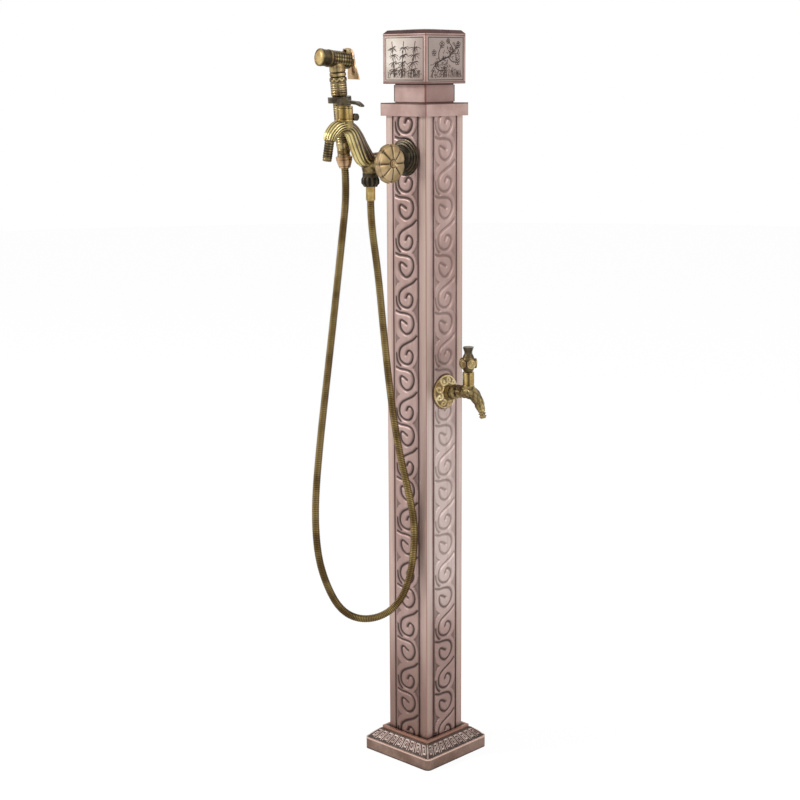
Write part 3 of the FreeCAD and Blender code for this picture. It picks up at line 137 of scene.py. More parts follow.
floor_mesh = bpy.data.meshes.new("floor")
floor_bm = bmesh.new()
bmesh.ops.create_circle(floor_bm, cap_ends=True, segments=64, radius=9)
floor_bm.to_mesh(floor_mesh)
floor_bm.free()
floor = bpy.data.objects.new("floor", floor_mesh)
bpy.context.collection.objects.link(floor)

floor_paint = bpy.data.materials.new("floor_paper")
floor_paint.use_nodes = True
paper = floor_paint.node_tree
paper_shader = paper.nodes["Principled BSDF"]
paper_shader.inputs["Base Color"].default_value = PAPER_TONE
paper_shader.inputs["Roughness"].default_value = 0.9
paper_glow = add_node(paper, "ShaderNodeEmission", {"Strength": PAPER_GLOW})
paper_rays = add_node(paper, "ShaderNodeLightPath").outputs
paper_mix = add_node(paper, "ShaderNodeMixShader",
                     {0: times(paper, paper_rays["Is Camera Ray"], GLOW_SHARE),
                      1: paper_shader.outputs[0], 2: paper_glow.outputs[0]})
paper.links.new(paper_mix.outputs[0], paper.nodes["Material Output"].inputs["Surface"])
floor_mesh.materials.append(floor_paint)

world = bpy.data.worlds.new("sky")
scene.world = world
world.use_nodes = True
sky = world.node_tree
lighting = sky.nodes["Background"]
lighting.inputs["Color"].default_value = WHITE
lighting.inputs["Strength"].default_value = SKY_LIGHT
seen = add_node(sky, "ShaderNodeBackground", {"Color": WHITE, "Strength": 1.0})
rays = add_node(sky, "ShaderNodeLightPath").outputs
mirrored = maths(sky, "MAXIMUM", rays["Is Camera Ray"], rays["Is Glossy Ray"])
choice = add_node(sky, "ShaderNodeMixShader",
                  {0: maths(sky, "MAXIMUM", mirrored, rays["Is Transmission Ray"]),
                   1: lighting.outputs[0], 2: seen.outputs[0]})
sky.links.new(choice.outputs[0], sky.nodes["World Output"].inputs["Surface"])


def lamp(name, place, target, size, power):
    """A soft square lamp that looks at a point."""
    data = bpy.data.lights.new(name, "AREA")
    data.size = size
    data.energy = power
    item = bpy.data.objects.new(name, data)
    item.location = place
    item.rotation_euler = (Vector(target) - Vector(place)).to_track_quat("-Z", "Y").to_euler()
    bpy.context.collection.objects.link(item)


lamp("key_lamp", (-2.2, -2.9, 2.6), (0, 0, 0.6), 0.9, 76)
lamp("side_lamp", (3.4, 0.4, 2.2), (0, 0, 0.6), 2.0, 40)
print("lamps:", len(bpy.data.lights))

# %% [markdown]
# ## The hose's line
#
# A hose is a fixed length of something springy, so its line comes before its shape.  The
# points below are the same route that the CAD tube takes.  As control points of one
# NURBS spline they give a smooth curve that only two clamped ends and gravity could have
# made.  The spline's order is set once its points exist, because before that it would
# stay at straight runs.

# %% The hose's line
SPRAYER_FOOT = Vector((-28, -138.4, 924)) * MM
SPRAYER_LEAN = math.radians(5.2)
in_sprayer = Matrix.Translation(SPRAYER_FOOT) @ Matrix.Rotation(SPRAYER_LEAN, 4, "X")

HOSE_ROUTE = [
    (-28, -146, 822), (-30.5, -158.5, 731), (-35, -172, 626), (-40.5, -184.5, 522),
    (-44, -193.5, 428), (-43, -191, 354), (-37, -178.5, 303), (-28, -159.5, 262),
    (-15, -132, 242), (1, -97.5, 242), (13.5, -70, 263), (20, -56.5, 298),
    (23, -50, 341), (23.5, -49.5, 388), (19, -59, 440), (12, -73, 508),
    (7, -84, 590), (3, -93, 685), (0.5, -101, 772), (0, -114.5, 846),
    (0, -114.5, 877.6),
]
hose_points = [SPRAYER_FOOT, in_sprayer @ Vector((0, 0, -35 * MM))]
hose_points += [Vector(point) * MM for point in HOSE_ROUTE]

line_data = bpy.data.curves.new("hose_line", "CURVE")
line_data.dimensions = "3D"
line_data.resolution_u = 24
spline = line_data.splines.new("NURBS")
spline.points.add(len(hose_points) - 1)
for control, place in zip(spline.points, hose_points):
    control.co = (*place, 1)
spline.order_u = 3
spline.use_endpoint_u = True
hose_line = bpy.data.objects.new("hose_line", line_data)
bpy.context.collection.objects.link(hose_line)
bpy.context.view_layer.update()
line_mesh = bpy.data.meshes.new_from_object(hose_line)
hose_path = [vertex.co.copy() for vertex in line_mesh.vertices]
hose_length = sum((b - a).length for a, b in zip(hose_path, hose_path[1:]))
print("hose line:", len(hose_path), "points,", round(hose_length, 4), "m")

# %% [markdown]
# ## Small tools for shapes
#
# Every mesh is drawn round its own axis first, and that axis is then laid along the real
# one.  A piece rides on the body that carries it, and may take a CAD node's place.

# %% Helpers for shapes
FULL_TURN = 2 * math.pi
FRONT = Vector((0, -1, 0))
RIGHT = Vector((1, 0, 0))
UP = Vector((0, 0, 1))
SIDES = ("front", "right", "rear", "left")


def aim(place, direction, upright=UP):
    """The matrix that lays a piece's +Z along direction, with +Y as near upright."""
    z_axis = Vector(direction).normalized()
    hint = Vector(upright)
    if abs(z_axis.dot(hint)) > 0.98:
        hint = Vector((0, 1, 0))
    x_axis = hint.cross(z_axis).normalized()
    y_axis = z_axis.cross(x_axis)
    turn = Matrix((x_axis, y_axis, z_axis)).transposed()
    return Matrix.Translation(Vector(place) * MM) @ turn.to_4x4()


def close_up(bm):
    """Merges doubles and turns every face outwards."""
    bmesh.ops.remove_doubles(bm, verts=bm.verts, dist=0.005 * MM)
    bmesh.ops.recalc_face_normals(bm, faces=bm.faces)


def add_piece(name, bm, finish, replaced=None, slot="antique_brass", body="root", smooth=38):
    """Makes the piece's object, at the origin, from a bmesh."""
    mesh = bpy.data.meshes.new(name)
    bm.to_mesh(mesh)
    bm.free()
    mesh.materials.append(finishes[finish])
    mesh.polygons.foreach_set("use_smooth", [True] * len(mesh.polygons))
    mesh.set_sharp_from_angle(angle=math.radians(smooth))
    item = bpy.data.objects.new(name, mesh)
    bpy.context.collection.objects.link(item)
    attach(item, body)
    if replaced:
        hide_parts(replaced)


def moved(bm, matrix):
    bmesh.ops.transform(bm, matrix=matrix, verts=bm.verts)
    return bm


def upright_at(x, y):
    return Matrix.Translation((x * MM, y * MM, 0))


def on_side(bm, index):
    """Turns what was drawn on the front face to one of the four sides."""
    return moved(bm, Matrix.Rotation(index * math.pi / 2, 4, "Z"))


print("shape helpers ready")

# %% [markdown]
# ## Small tools for carving
#
# Cast ornament is a surface that rises and sinks a millimetre or so.  A flat grid is
# rolled up into the piece's round form, and every point is then pushed out or in by a
# formula, much as a carver works round a blank.  The same formula says how deep the point
# lies, which the finish needs for its tarnish.  Fine raised lines are strands: rings
# bridged together along a path.

# %% Helpers for carving
def smooth_line(points, per_run=6):
    """More points on a smooth line through the given ones."""
    knots = np.array([points[0]] + list(points) + [points[-1]], float)
    made = []
    for a, b, c, d in zip(knots, knots[1:], knots[2:], knots[3:]):
        for t in np.linspace(0, 1, per_run, endpoint=False):
            made.append(0.5 * (2 * b + (c - a) * t + (2 * a - 5 * b + 4 * c - d) * t ** 2
                               + (3 * b - a - 3 * c + d) * t ** 3))
    made.append(knots[-2])
    return np.array(made)


def distance_to(points, line):
    """How far each point lies from a line of short runs."""
    starts, ends = line[:-1], line[1:]
    runs = ends - starts
    offset = points[:, None, :] - starts[None]
    share = np.clip((offset * runs).sum(2) / (runs ** 2).sum(1), 0, 1)
    gap = offset - share[..., None] * runs
    return np.sqrt((gap ** 2).sum(2)).min(1)


def held(value):
    return max(0.0, min(1.0, value))


def bump_at(gap, width):
    """A soft bump: 1 at no gap, and near 0 past twice the width."""
    return math.exp(-(gap / width) ** 2)


def wave_at(angle):
    """A soft wave between 0 and 1, highest at angle 0."""
    return 0.5 + 0.5 * math.cos(angle)


def off_nearest(angle, count):
    """How far an angle lies from the nearest of count even divisions of a turn."""
    pace = FULL_TURN / count
    return (angle + pace / 2) % pace - pace / 2


def rolled(around, rows, form):
    """A grid rolled up: form gives a point's place in mm and its depth, 0 to 1."""
    bm = bmesh.new()
    layer = bm.verts.layers.float.new("groove")
    bmesh.ops.create_grid(bm, x_segments=around, y_segments=rows, size=1)
    for vertex in bm.verts:
        angle = (vertex.co.x + 1) / 2 * FULL_TURN
        row = int(round((vertex.co.y + 1) / 2 * rows))
        place, depth = form(angle, row)
        vertex.co = Vector(place) * MM
        vertex[layer] = depth
    close_up(bm)
    return bm


def carved_turning(outline, around, step, relief, matrix=Matrix()):
    """A turned section, from axis to axis, pushed along its normal by relief."""
    rows = []
    for (r0, z0), (r1, z1) in zip(outline, outline[1:]):
        count = max(1, math.ceil(math.hypot(r1 - r0, z1 - z0) / step))
        rows += [(r0 + (r1 - r0) * i / count, z0 + (z1 - z0) * i / count)
                 for i in range(count)]
    rows.append(outline[-1])
    last = len(rows) - 1

    def form(angle, row):
        radius, z = rows[row]
        before, after = rows[max(row - 1, 0)], rows[min(row + 1, last)]
        out = Vector((after[1] - before[1], before[0] - after[0])).normalized()
        rise, depth = relief(angle, radius, z)
        if row in (0, last):
            rise = 0.0
        radius += out.x * rise
        z += out.y * rise
        return (radius * math.cos(angle), radius * math.sin(angle), z), depth

    return moved(rolled(around, last, form), matrix)


def carved_arm(stations, across, base, around, relief):
    """A cast arm, closed at both ends, through (along, up, run, climb, tall, wide)."""
    line = smooth_line(stations, per_run=14)
    last = len(line) + 1
    forward = UP.cross(across) * -1

    def form(angle, row):
        along, up, run, climb, tall, wide = line[min(max(row - 1, 0), len(line) - 1)]
        size = math.hypot(run, climb)
        centre = base + forward * along + UP * up
        normal = (UP * run - forward * climb) / size
        rise, depth = relief(angle, (row - 1) / (len(line) - 1))
        if row in (0, last):
            return centre, 0.0
        return (centre + across * (math.cos(angle) * (wide + rise))
                + normal * (math.sin(angle) * (tall + rise))), depth

    return rolled(around, last, form)


def strand(bm, points, widths, upright=UP, flat=1.0, sides=8):
    """A tapering strand: rings bridged together along points, all in mm."""
    before_ring = None
    for index, (point, width) in enumerate(zip(points, widths)):
        behind = Vector(points[max(index - 1, 0)])
        ahead = Vector(points[min(index + 1, len(points) - 1)])
        matrix = aim(point, ahead - behind, upright) @ Matrix.Diagonal((1, flat, 1, 1))
        made = bmesh.ops.create_circle(bm, segments=sides, radius=width * MM, matrix=matrix,
                                       cap_ends=index in (0, len(points) - 1))
        ring = list({edge for vertex in made["verts"] for edge in vertex.link_edges})
        if before_ring:
            bmesh.ops.bridge_loops(bm, edges=before_ring + ring)
        before_ring = ring


def turned_piece(name, outline, around, step, relief, matrix, finish, replaced, **settings):
    """A carved turning that takes a CAD node's place."""
    add_piece(name, carved_turning(outline, around, step, relief, matrix), finish, replaced,
              **settings)


print("carving helpers ready")

# %% [markdown]
# ## Small tools for finishes
#
# Antique brass and copper are plated bright, darkened with acid and then rubbed by hand,
# so the dark stays in every hollow and the metal shines on every edge.  Three masks give
# that: slow noise for the cloudy tone, ambient occlusion for the hollows, and the carved
# pieces' own "groove" attribute, which says how deep each point lies.
# On the column's bands the "groove" attribute also carries painted shade round the scrolls.

# %% Helpers for finishes
RIDGE_WIDTH = 1.2
GRAIN_HEIGHT = 0.15


def tone(red, green, blue):
    """A colour given on a screen, as Blender's linear numbers."""
    return tuple(((c / 255 + 0.055) / 1.055) ** 2.4 if c > 10 else c / 255 / 12.92
                 for c in (red, green, blue)) + (1.0,)


def mix_colours(tree, factor, first, second):
    mixer = add_node(tree, "ShaderNodeMix", {0: factor, 6: first, 7: second},
                     data_type="RGBA")
    return mixer.outputs[2]


def tint(tree, colour, mask, share, *rgb):
    """Lays a tone over the colour where the mask is, as strongly as share says."""
    return mix_colours(tree, times(tree, mask, share), colour, tone(*rgb))


def spread(tree, value, low, high, to_low=0.0, to_high=1.0, kind="SMOOTHSTEP"):
    """Stretches a value from low..high to a new range, and holds it there."""
    stretch = add_node(tree, "ShaderNodeMapRange",
                       {"Value": value, "From Min": low, "From Max": high,
                        "To Min": to_low, "To Max": to_high}, interpolation_type=kind)
    return stretch.outputs[0]


def axes(tree, vector):
    """A vector's x, y and z."""
    return add_node(tree, "ShaderNodeSeparateXYZ", {0: vector}).outputs


def off_level(tree, value, level):
    """How far a value lies from a level."""
    return maths(tree, "ABSOLUTE", maths(tree, "SUBTRACT", value, level))


def off_axis(tree, choice, x, y):
    """The smaller (MINIMUM) or larger (MAXIMUM) of a point's x and y, without signs."""
    return maths(tree, choice, maths(tree, "ABSOLUTE", x), maths(tree, "ABSOLUTE", y))


def cloud(tree, coords, scale, detail=4.0, stretch=(1, 1, 1)):
    """Noise on the object's own coordinates, drawn out along an axis."""
    mapped = add_node(tree, "ShaderNodeMapping", {"Vector": coords, "Scale": stretch})
    noise = add_node(tree, "ShaderNodeTexNoise",
                     {"Vector": mapped.outputs[0], "Scale": scale, "Detail": detail})
    return noise.outputs[0]


def openness(tree, width, **settings):
    """How open a place is, looking as far as width, in mm."""
    return add_node(tree, "ShaderNodeAmbientOcclusion", {"Distance": width * MM},
                    only_local=True, samples=8, **settings).outputs["AO"]


def antique(name, pale, deep, tarnish, metallic, roughness, patches=45.0, hollow=3.0,
            hollow_power=0.9, grain=(1, 1, 1), grain_scale=900.0, bump=0.12, extra=None,
            edge=None):
    """A rubbed antique metal.  hollow is how wide a crevice darkens, in mm."""
    material = bpy.data.materials.new(name)
    material.use_nodes = True
    tree = material.node_tree
    shader = tree.nodes["Principled BSDF"]
    coords = add_node(tree, "ShaderNodeTexCoord").outputs["Object"]
    patch = spread(tree, cloud(tree, coords, patches), 0.38, 0.64)
    fine = cloud(tree, coords, grain_scale, 3.0, grain)
    colour = mix_colours(tree, patch, tone(*pale), tone(*deep))
    if extra:
        colour = extra(tree, coords, colour)
    groove = add_node(tree, "ShaderNodeAttribute", attribute_name="groove").outputs["Fac"]
    dark = maths(tree, "MAXIMUM", spread(tree, openness(tree, hollow), 0.88, 0.35), groove)
    rubbed = times(tree, times(tree, fine, 0.35), 0.25)
    dark = add_node(tree, "ShaderNodeMath", {0: times(tree, dark, hollow_power), 1: rubbed},
                    operation="SUBTRACT", use_clamp=True).outputs[0]
    if edge:
        ridge = spread(tree, openness(tree, RIDGE_WIDTH, inside=True), 0.75, 0.35)
        colour = mix_colours(tree, ridge, colour, tone(*edge))
    colour = mix_colours(tree, dark, colour, tone(*tarnish))
    tree.links.new(colour, shader.inputs["Base Color"])
    shine = spread(tree, fine, 0.3, 0.7, roughness - 0.06, roughness + 0.08, "LINEAR")
    tree.links.new(maths(tree, "ADD", shine, times(tree, dark, 0.18)),
                   shader.inputs["Roughness"])
    shader.inputs["Metallic"].default_value = metallic
    relief = add_node(tree, "ShaderNodeBump",
                      {"Height": fine, "Strength": bump, "Distance": GRAIN_HEIGHT * MM})
    tree.links.new(relief.outputs[0], shader.inputs["Normal"])
    return material


print("finish helpers ready")

# %% [markdown]
# ## The finishes
#
# There are two families.  The column, cap and foot are red copper rubbed to a dusty
# pink, and redder where hands and cloths have worn the corners.  The taps are yellow
# brass, bright where they are turned smooth and nearly black in their ornament.  What
# differs from place to place is laid on by height and reach, in metres.

# %% What differs from place to place
NECK_FOOT, NECK_HEAD = 1.0144, 1.0419
JOINT_LINES = ((1.0142, 0.0019), (1.0418, 0.0019), (1.0445, 0.0008), (1.1112, 0.0008))
CORNER_LINES = ((0.99, NECK_FOOT, 0.0461), (NECK_FOOT, NECK_HEAD, 0.0308),
                (NECK_HEAD, 1.12, 0.0429))
SKIRT_EDGE = 0.0176


def copper_corners(tree, coords, colour):
    """Redder copper along the column's four corners, a painted pale haze on the middle of the
    right-hand face, and painted shade that makes the foot end darker and browner.
    """
    x, y, z = axes(tree, coords)
    nearest = off_axis(tree, "MINIMUM", x, y)
    colour = tint(tree, colour, spread(tree, nearest, 0.027, 0.034), 0.75, 206, 182, 170)
    # Painted highlight: a pale haze over the middle height of the right-hand face.
    middle = times(tree, spread(tree, z, 0.66, 0.5), spread(tree, z, 0.2, 0.3))
    right_side = spread(tree, x, 0.0386, 0.0396)
    colour = tint(tree, colour, middle, times(tree, right_side, 0.7), 214, 196, 190)
    # Painted shade: the foot end is darker and browner, less so on the right-hand face.
    foot_shade_share = maths(tree, "SUBTRACT", 0.78, times(tree, right_side, 0.4))
    colour = tint(tree, colour, spread(tree, z, 0.27, 0.08), foot_shade_share, 112, 82, 72)
    colour = tint(tree, colour, spread(tree, nearest, 0.0387, 0.0398), 0.85, 150, 84, 74)
    streak = spread(tree, cloud(tree, coords, 130.0, 3.0, (1, 1, 0.03)), 0.42, 0.6)
    return tint(tree, colour, streak, 0.25, 150, 120, 108)


def dark_levels(tree, coords, colour):
    """Painted shade on the neck's right-hand face, and dark lines where the collar, the neck
    and the cap meet, and at the corners.
    """
    x, y, z = axes(tree, coords)
    # Painted shade: the neck's right-hand face is darkened.
    neck_part = times(tree, spread(tree, z, NECK_FOOT, NECK_FOOT + 0.0012),
                      spread(tree, z, NECK_HEAD, NECK_HEAD - 0.0012))
    shaded = times(tree, neck_part, spread(tree, x, 0.029, 0.0305))
    colour = tint(tree, colour, shaded, 0.6, 144, 112, 106)
    for level, width in JOINT_LINES:
        line = spread(tree, off_level(tree, z, level), width, width * 0.45)
        colour = tint(tree, colour, line, 0.9, 66, 38, 34)
    reach = off_axis(tree, "MINIMUM", x, y)
    outer = spread(tree, times(tree, x, y), -0.0002, 0.0002)
    line_tone = mix_colours(tree, outer, tone(124, 60, 56), tone(58, 44, 42))
    for low, high, corner in CORNER_LINES:
        there = times(tree, maths(tree, "GREATER_THAN", z, low),
                      maths(tree, "LESS_THAN", z, high))
        line = times(tree, spread(tree, off_level(tree, reach, corner), 0.0013, 0.0005), there)
        colour = mix_colours(tree, times(tree, line, 0.85), colour, line_tone)
    return colour


def painted_plaque_shade(tree, coords, colour):
    """Painted light: the silver is lighter on the left and darker toward the right-hand side
    and the foot.
    """
    x, y, z = axes(tree, coords)
    colour = tint(tree, colour, spread(tree, x, -0.03, 0.036), 0.85, 148, 130, 124)
    return tint(tree, colour, spread(tree, z, 1.075, 1.05), 0.35, 142, 120, 108)


def foot_lines(tree, coords, colour):
    """A painted highlight on the skirt's edge, a pale ledge, and dark where pieces meet."""
    x, y, z = axes(tree, coords)
    ledge = spread(tree, z, 0.0325, 0.0345)
    colour = tint(tree, colour, ledge, 0.85, 168, 126, 108)
    by_column = spread(tree, off_axis(tree, "MAXIMUM", x, y), 0.0462, 0.0432)
    colour = tint(tree, colour, ledge, by_column, 34, 20, 18)
    # Painted highlight along the skirt's top edge.
    edge = spread(tree, off_level(tree, z, SKIRT_EDGE), 0.0018, 0.0006)
    colour = tint(tree, colour, edge, 0.85, 232, 200, 184)
    return tint(tree, colour, spread(tree, z, 0.0026, 0.0008), 0.8, 52, 38, 34)


def tarnish_and_reflection_streaks(tree, coords, colour):
    """Upright dark streaks: tarnish, and painted reflection of what a polished barrel mirrors.
    """
    streak = spread(tree, cloud(tree, coords, 260.0, 2.0, (1, 1, 0.02)), 0.46, 0.66)
    return tint(tree, colour, streak, 0.8, 78, 60, 32)


def mane_tones(tree, coords, colour):
    """Greyer strands behind the bonnet, and painted shade, brown, on the faces that look down
    toward the nose.
    """
    normal = add_node(tree, "ShaderNodeNewGeometry").outputs["Normal"]
    facing = axes(tree, normal)[2]
    behind = spread(tree, axes(tree, coords)[1], -0.17, -0.16)
    strands = times(tree, spread(tree, facing, -0.4, -0.1), behind)
    colour = tint(tree, colour, strands, 0.85, 132, 116, 108)
    # Painted shade: faces that look down, toward the nose, are darkened brown.
    under = times(tree, spread(tree, facing, 0.25, -0.35),
                  maths(tree, "SUBTRACT", 1.0, behind))
    return tint(tree, colour, under, 0.6, 66, 50, 44)


print("local tones ready")

# %% The metals: pale, deep and tarnish tones, metallic, roughness, and what is special
FINISHES = {
    "column_copper": ((186, 159, 152), (168, 140, 133), (50, 34, 32), 0.6, 0.42, dict(
        patches=14.0, hollow_power=0.95, grain=(1, 1, 0.08), grain_scale=700.0, bump=0.08,
        extra=copper_corners)),
    "cap_copper": ((190, 162, 154), (168, 138, 130), (84, 56, 48), 0.65, 0.38, dict(
        patches=22.0, extra=dark_levels)),
    "foot_copper": ((150, 124, 112), (124, 98, 86), (44, 32, 28), 0.7, 0.4, dict(
        patches=40.0, hollow=4.0, extra=foot_lines)),
    "key_copper": ((196, 174, 164), (160, 136, 126), (20, 15, 15), 0.65, 0.42, dict(
        patches=70.0, hollow=0.8)),
    "plaque_metal": ((222, 212, 202), (204, 192, 180), (84, 62, 52), 0.55, 0.4, dict(
        patches=26.0, extra=painted_plaque_shade)),
    "roof_metal": ((88, 54, 48), (66, 40, 36), (30, 20, 18), 0.6, 0.45, {}),
    "sprig_dark": ((66, 48, 42), (48, 35, 31), (28, 20, 18), 0.5, 0.5, {}),
    "brass_ornate": ((150, 130, 88), (100, 84, 56), (22, 17, 14), 0.88, 0.32, dict(
        patches=90.0, hollow=2.2, edge=(212, 190, 134))),
    "brass_mane": ((220, 202, 140), (184, 162, 100), (38, 28, 26), 0.88, 0.28, dict(
        patches=60.0, hollow=2.0, extra=mane_tones)),
    "brass_bright": ((206, 180, 122), (170, 140, 84), (52, 38, 20), 0.9, 0.26, dict(
        patches=70.0, hollow=2.0, edge=(232, 212, 158))),
    "brass_bonnet": ((206, 180, 118), (168, 138, 80), (52, 38, 20), 0.9, 0.26, dict(
        patches=70.0, hollow=1.5, extra=tarnish_and_reflection_streaks)),
    "brass_handle": ((190, 168, 120), (126, 104, 70), (28, 21, 18), 0.9, 0.28, dict(
        patches=80.0, hollow=1.8, edge=(222, 204, 158))),
    "brass_wheel": ((188, 162, 124), (154, 130, 92), (34, 25, 18), 0.85, 0.38, dict(
        patches=55.0, hollow=1.6, edge=(214, 194, 150))),
    "brass_gilt": ((224, 204, 156), (188, 162, 112), (84, 62, 40), 0.88, 0.28, dict(
        patches=70.0, hollow=1.8, edge=(242, 228, 188))),
    "brass_pale": ((204, 170, 132), (170, 134, 96), (70, 48, 32), 0.88, 0.3, dict(
        patches=50.0)),
    "brass_dark": ((92, 82, 64), (58, 52, 42), (18, 16, 14), 0.88, 0.34, dict(
        patches=90.0, hollow=2.0, edge=(176, 166, 136))),
    "brass_hose": ((160, 136, 86), (112, 88, 50), (14, 9, 3), 0.9, 0.28, dict(
        patches=25.0, hollow=1.2)),
    "steel": ((176, 178, 180), (150, 152, 155), (80, 80, 82), 0.95, 0.35, {}),
    "pipe_copper": ((184, 120, 92), (158, 98, 74), (90, 56, 44), 0.9, 0.35, {}),
    "foam": ((72, 72, 74), (58, 58, 60), (30, 30, 32), 0.0, 0.95, dict(
        bump=0.8, grain_scale=1600.0)),
    "rubber": ((40, 40, 42), (30, 30, 32), (16, 16, 18), 0.0, 0.7, {}),
    "cartridge_brass": ((196, 168, 108), (170, 140, 84), (90, 70, 40), 0.95, 0.3, {}),
}
finishes = {name: antique(name, *row[:-1], **row[-1]) for name, row in FINISHES.items()}
print("finishes:", len(finishes))

# %% Dress the CAD nodes
DRESS = {
    "column_copper": ["column_tube"],
    "foot_copper": ["base_cover_front", "base_cover_rear"],
    "cap_copper": ["column_collar", "cap_neck", "cap_box"],
    "plaque_metal": ["cap_panels"],
    "roof_metal": ["cap_roof"],
    "steel": ["base_plate", "trigger_spring", "trigger_pin"],
    "pipe_copper": ["inlet_connector", "riser_lower", "riser_tee", "riser_upper",
                    "upper_elbow"],
    "foam": ["pipe_insulation"],
    "rubber": ["wall_gaskets"],
    "cartridge_brass": ["wheel_cartridge", "top_cartridge", "bib_cartridge",
                        "wheel_spindle", "top_spindle", "bib_spindle",
                        "sprayer_valve_pin"],
    "brass_ornate": ["tap_body", "bib_tap_body", "main_rosette", "bib_rosette",
                     "sprayer_body", "spout_nozzle", "bib_nozzle", "bib_handle",
                     "wheel_bonnet"],
    "brass_bright": ["top_bonnet", "bib_bonnet", "sprayer_face", "hose_ferrule_tap",
                     "hose_nut_sprayer"],
    "brass_wheel": ["handwheel", "handwheel_screw"],
    "brass_pale": ["trigger"],
    "brass_dark": ["hose_nut_tap", "bib_handle_cap", "sprayer_holder", "holder_screw",
                   "top_lever"],
    "brass_hose": ["hose"],
}
for finish, names in DRESS.items():
    for name in names:
        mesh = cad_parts[name].data
        mesh.materials.clear()
        mesh.materials.append(finishes[finish])
print("dressed", sum(map(len, DRESS.values())), "of", len(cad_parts))

# %% [markdown]
# ## The metal hose
#
# The real hose is a strip wound into a tube, so its skin is a row of fine ribs.  One rib
# is drawn as a short tube, an Array modifier repeats it, and a Curve modifier lays the
# row along the hose's line.  The rib's low rings carry the "groove" attribute.

# %% The metal hose
HOSE_RADIUS = 5.75
RIB_PITCH = 2.8
rib_count = int(round(hose_length / MM / RIB_PITCH))
rib_step = hose_length / rib_count

rib = bmesh.new()
depth_layer = rib.verts.layers.float.new("groove")
RIB_RINGS = [(0.0, 4.6, 1.0), (0.24, 5.3, 0.9), (0.52, HOSE_RADIUS, 0.0), (0.78, 5.4, 0.5),
             (1.0, 4.6, 1.0)]
rings = []
for share, radius, depth in RIB_RINGS:
    made = bmesh.ops.create_circle(
        rib, segments=16, radius=radius * MM,
        matrix=Matrix.Translation((share * rib_step, 0, 0)) @ Matrix.Rotation(
            math.pi / 2, 4, "Y"))
    for vertex in made["verts"]:
        vertex[depth_layer] = depth
    rings.append([edge for edge in rib.edges if all(v in made["verts"] for v in edge.verts)])
for first, second in zip(rings, rings[1:]):
    bmesh.ops.bridge_loops(rib, edges=first + second)
bmesh.ops.recalc_face_normals(rib, faces=rib.faces)
rib_mesh = bpy.data.meshes.new("hose_rib")
rib.to_mesh(rib_mesh)
rib.free()
rib_item = bpy.data.objects.new("hose_rib", rib_mesh)
bpy.context.collection.objects.link(rib_item)
row = rib_item.modifiers.new("row", "ARRAY")
row.use_relative_offset = False
row.use_constant_offset = True
row.constant_offset_displace = (rib_step, 0, 0)
row.count = rib_count
row.use_merge_vertices = True
row.merge_threshold = 0.02 * MM
follow = rib_item.modifiers.new("follow", "CURVE")
follow.object = hose_line
follow.deform_axis = "POS_X"
bpy.context.view_layer.update()
hose_mesh = bpy.data.meshes.new_from_object(
    rib_item.evaluated_get(bpy.context.evaluated_depsgraph_get()))
hose_mesh.name = "metal_hose"
hose_mesh.materials.clear()
hose_mesh.materials.append(finishes["brass_hose"])
hose_mesh.polygons.foreach_set("use_smooth", [True] * len(hose_mesh.polygons))
bpy.data.objects.remove(rib_item)
bpy.data.objects.remove(hose_line)
hose = bpy.data.objects.new("metal_hose", hose_mesh)
bpy.context.collection.objects.link(hose)
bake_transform(hose)
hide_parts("hose")
print("hose:", rib_count, "ribs,", len(hose_mesh.polygons), "faces")

# %% [markdown]
# ## The embossed bands
#
# Each face of the column carries one long band of scrolls, rolled into the copper before
# it was folded.  The pattern is a vine: one scroll curls under the wave and the next one
# over it, and a pair takes 86 mm.  A flat grid is the right start for such a shallow
# relief, because every point only has to move in or out.  One pair is worked out once, as
# a table of heights, and then laid along the whole band.

# %% One pair of scrolls as a table of heights
PAIR = 86.0
BAND_HALF = 23.0
GRID_ACROSS = 60
GRID_PAIR = 108
UPPER_SCROLL = [(-5, -21), (-2.8, -13), (-2.6, -4), (-1.6, 5), (1.2, 11.3), (7, 15),
                (14, 15.4), (20.5, 12.8), (26, 8.1), (28.8, 1.3), (27.4, -4), (23, -9.5),
                (17, -12.2), (11, -12.4), (8.4, -9.8), (9.4, -5.4), (11.6, -1.2), (13, 1.3)]
LOWER_SCROLL = [(30, 21), (36.3, 13.8), (40.8, 5), (44.5, -2.5), (47.8, -8), (53, -12.8),
                (61.3, -14.6), (68.8, -12.5), (73.2, -7), (74.8, -1), (74.2, 5), (70, 10.6),
                (62, 13.6), (56.6, 12), (53.6, 7), (55, 2.8), (60, 0)]
SIDE_LINE = [(60, -20.6), (68, -19.4), (74, -16.4), (78.5, -12)]
LEFT_RIM = [(-6, -22.6), (10, -22.9), (24, -21.6), (31, -19), (36.5, -12.6), (40, -17.2),
            (47, -21.4), (60, -22.8), (80, -22.6)]
RIGHT_RIM = [(37, 22.6), (50, 22.9), (62, 22), (71, 19.4), (78.5, 13.6), (82, 17.6),
             (90, 21.4), (104, 22.9), (123, 22.6)]


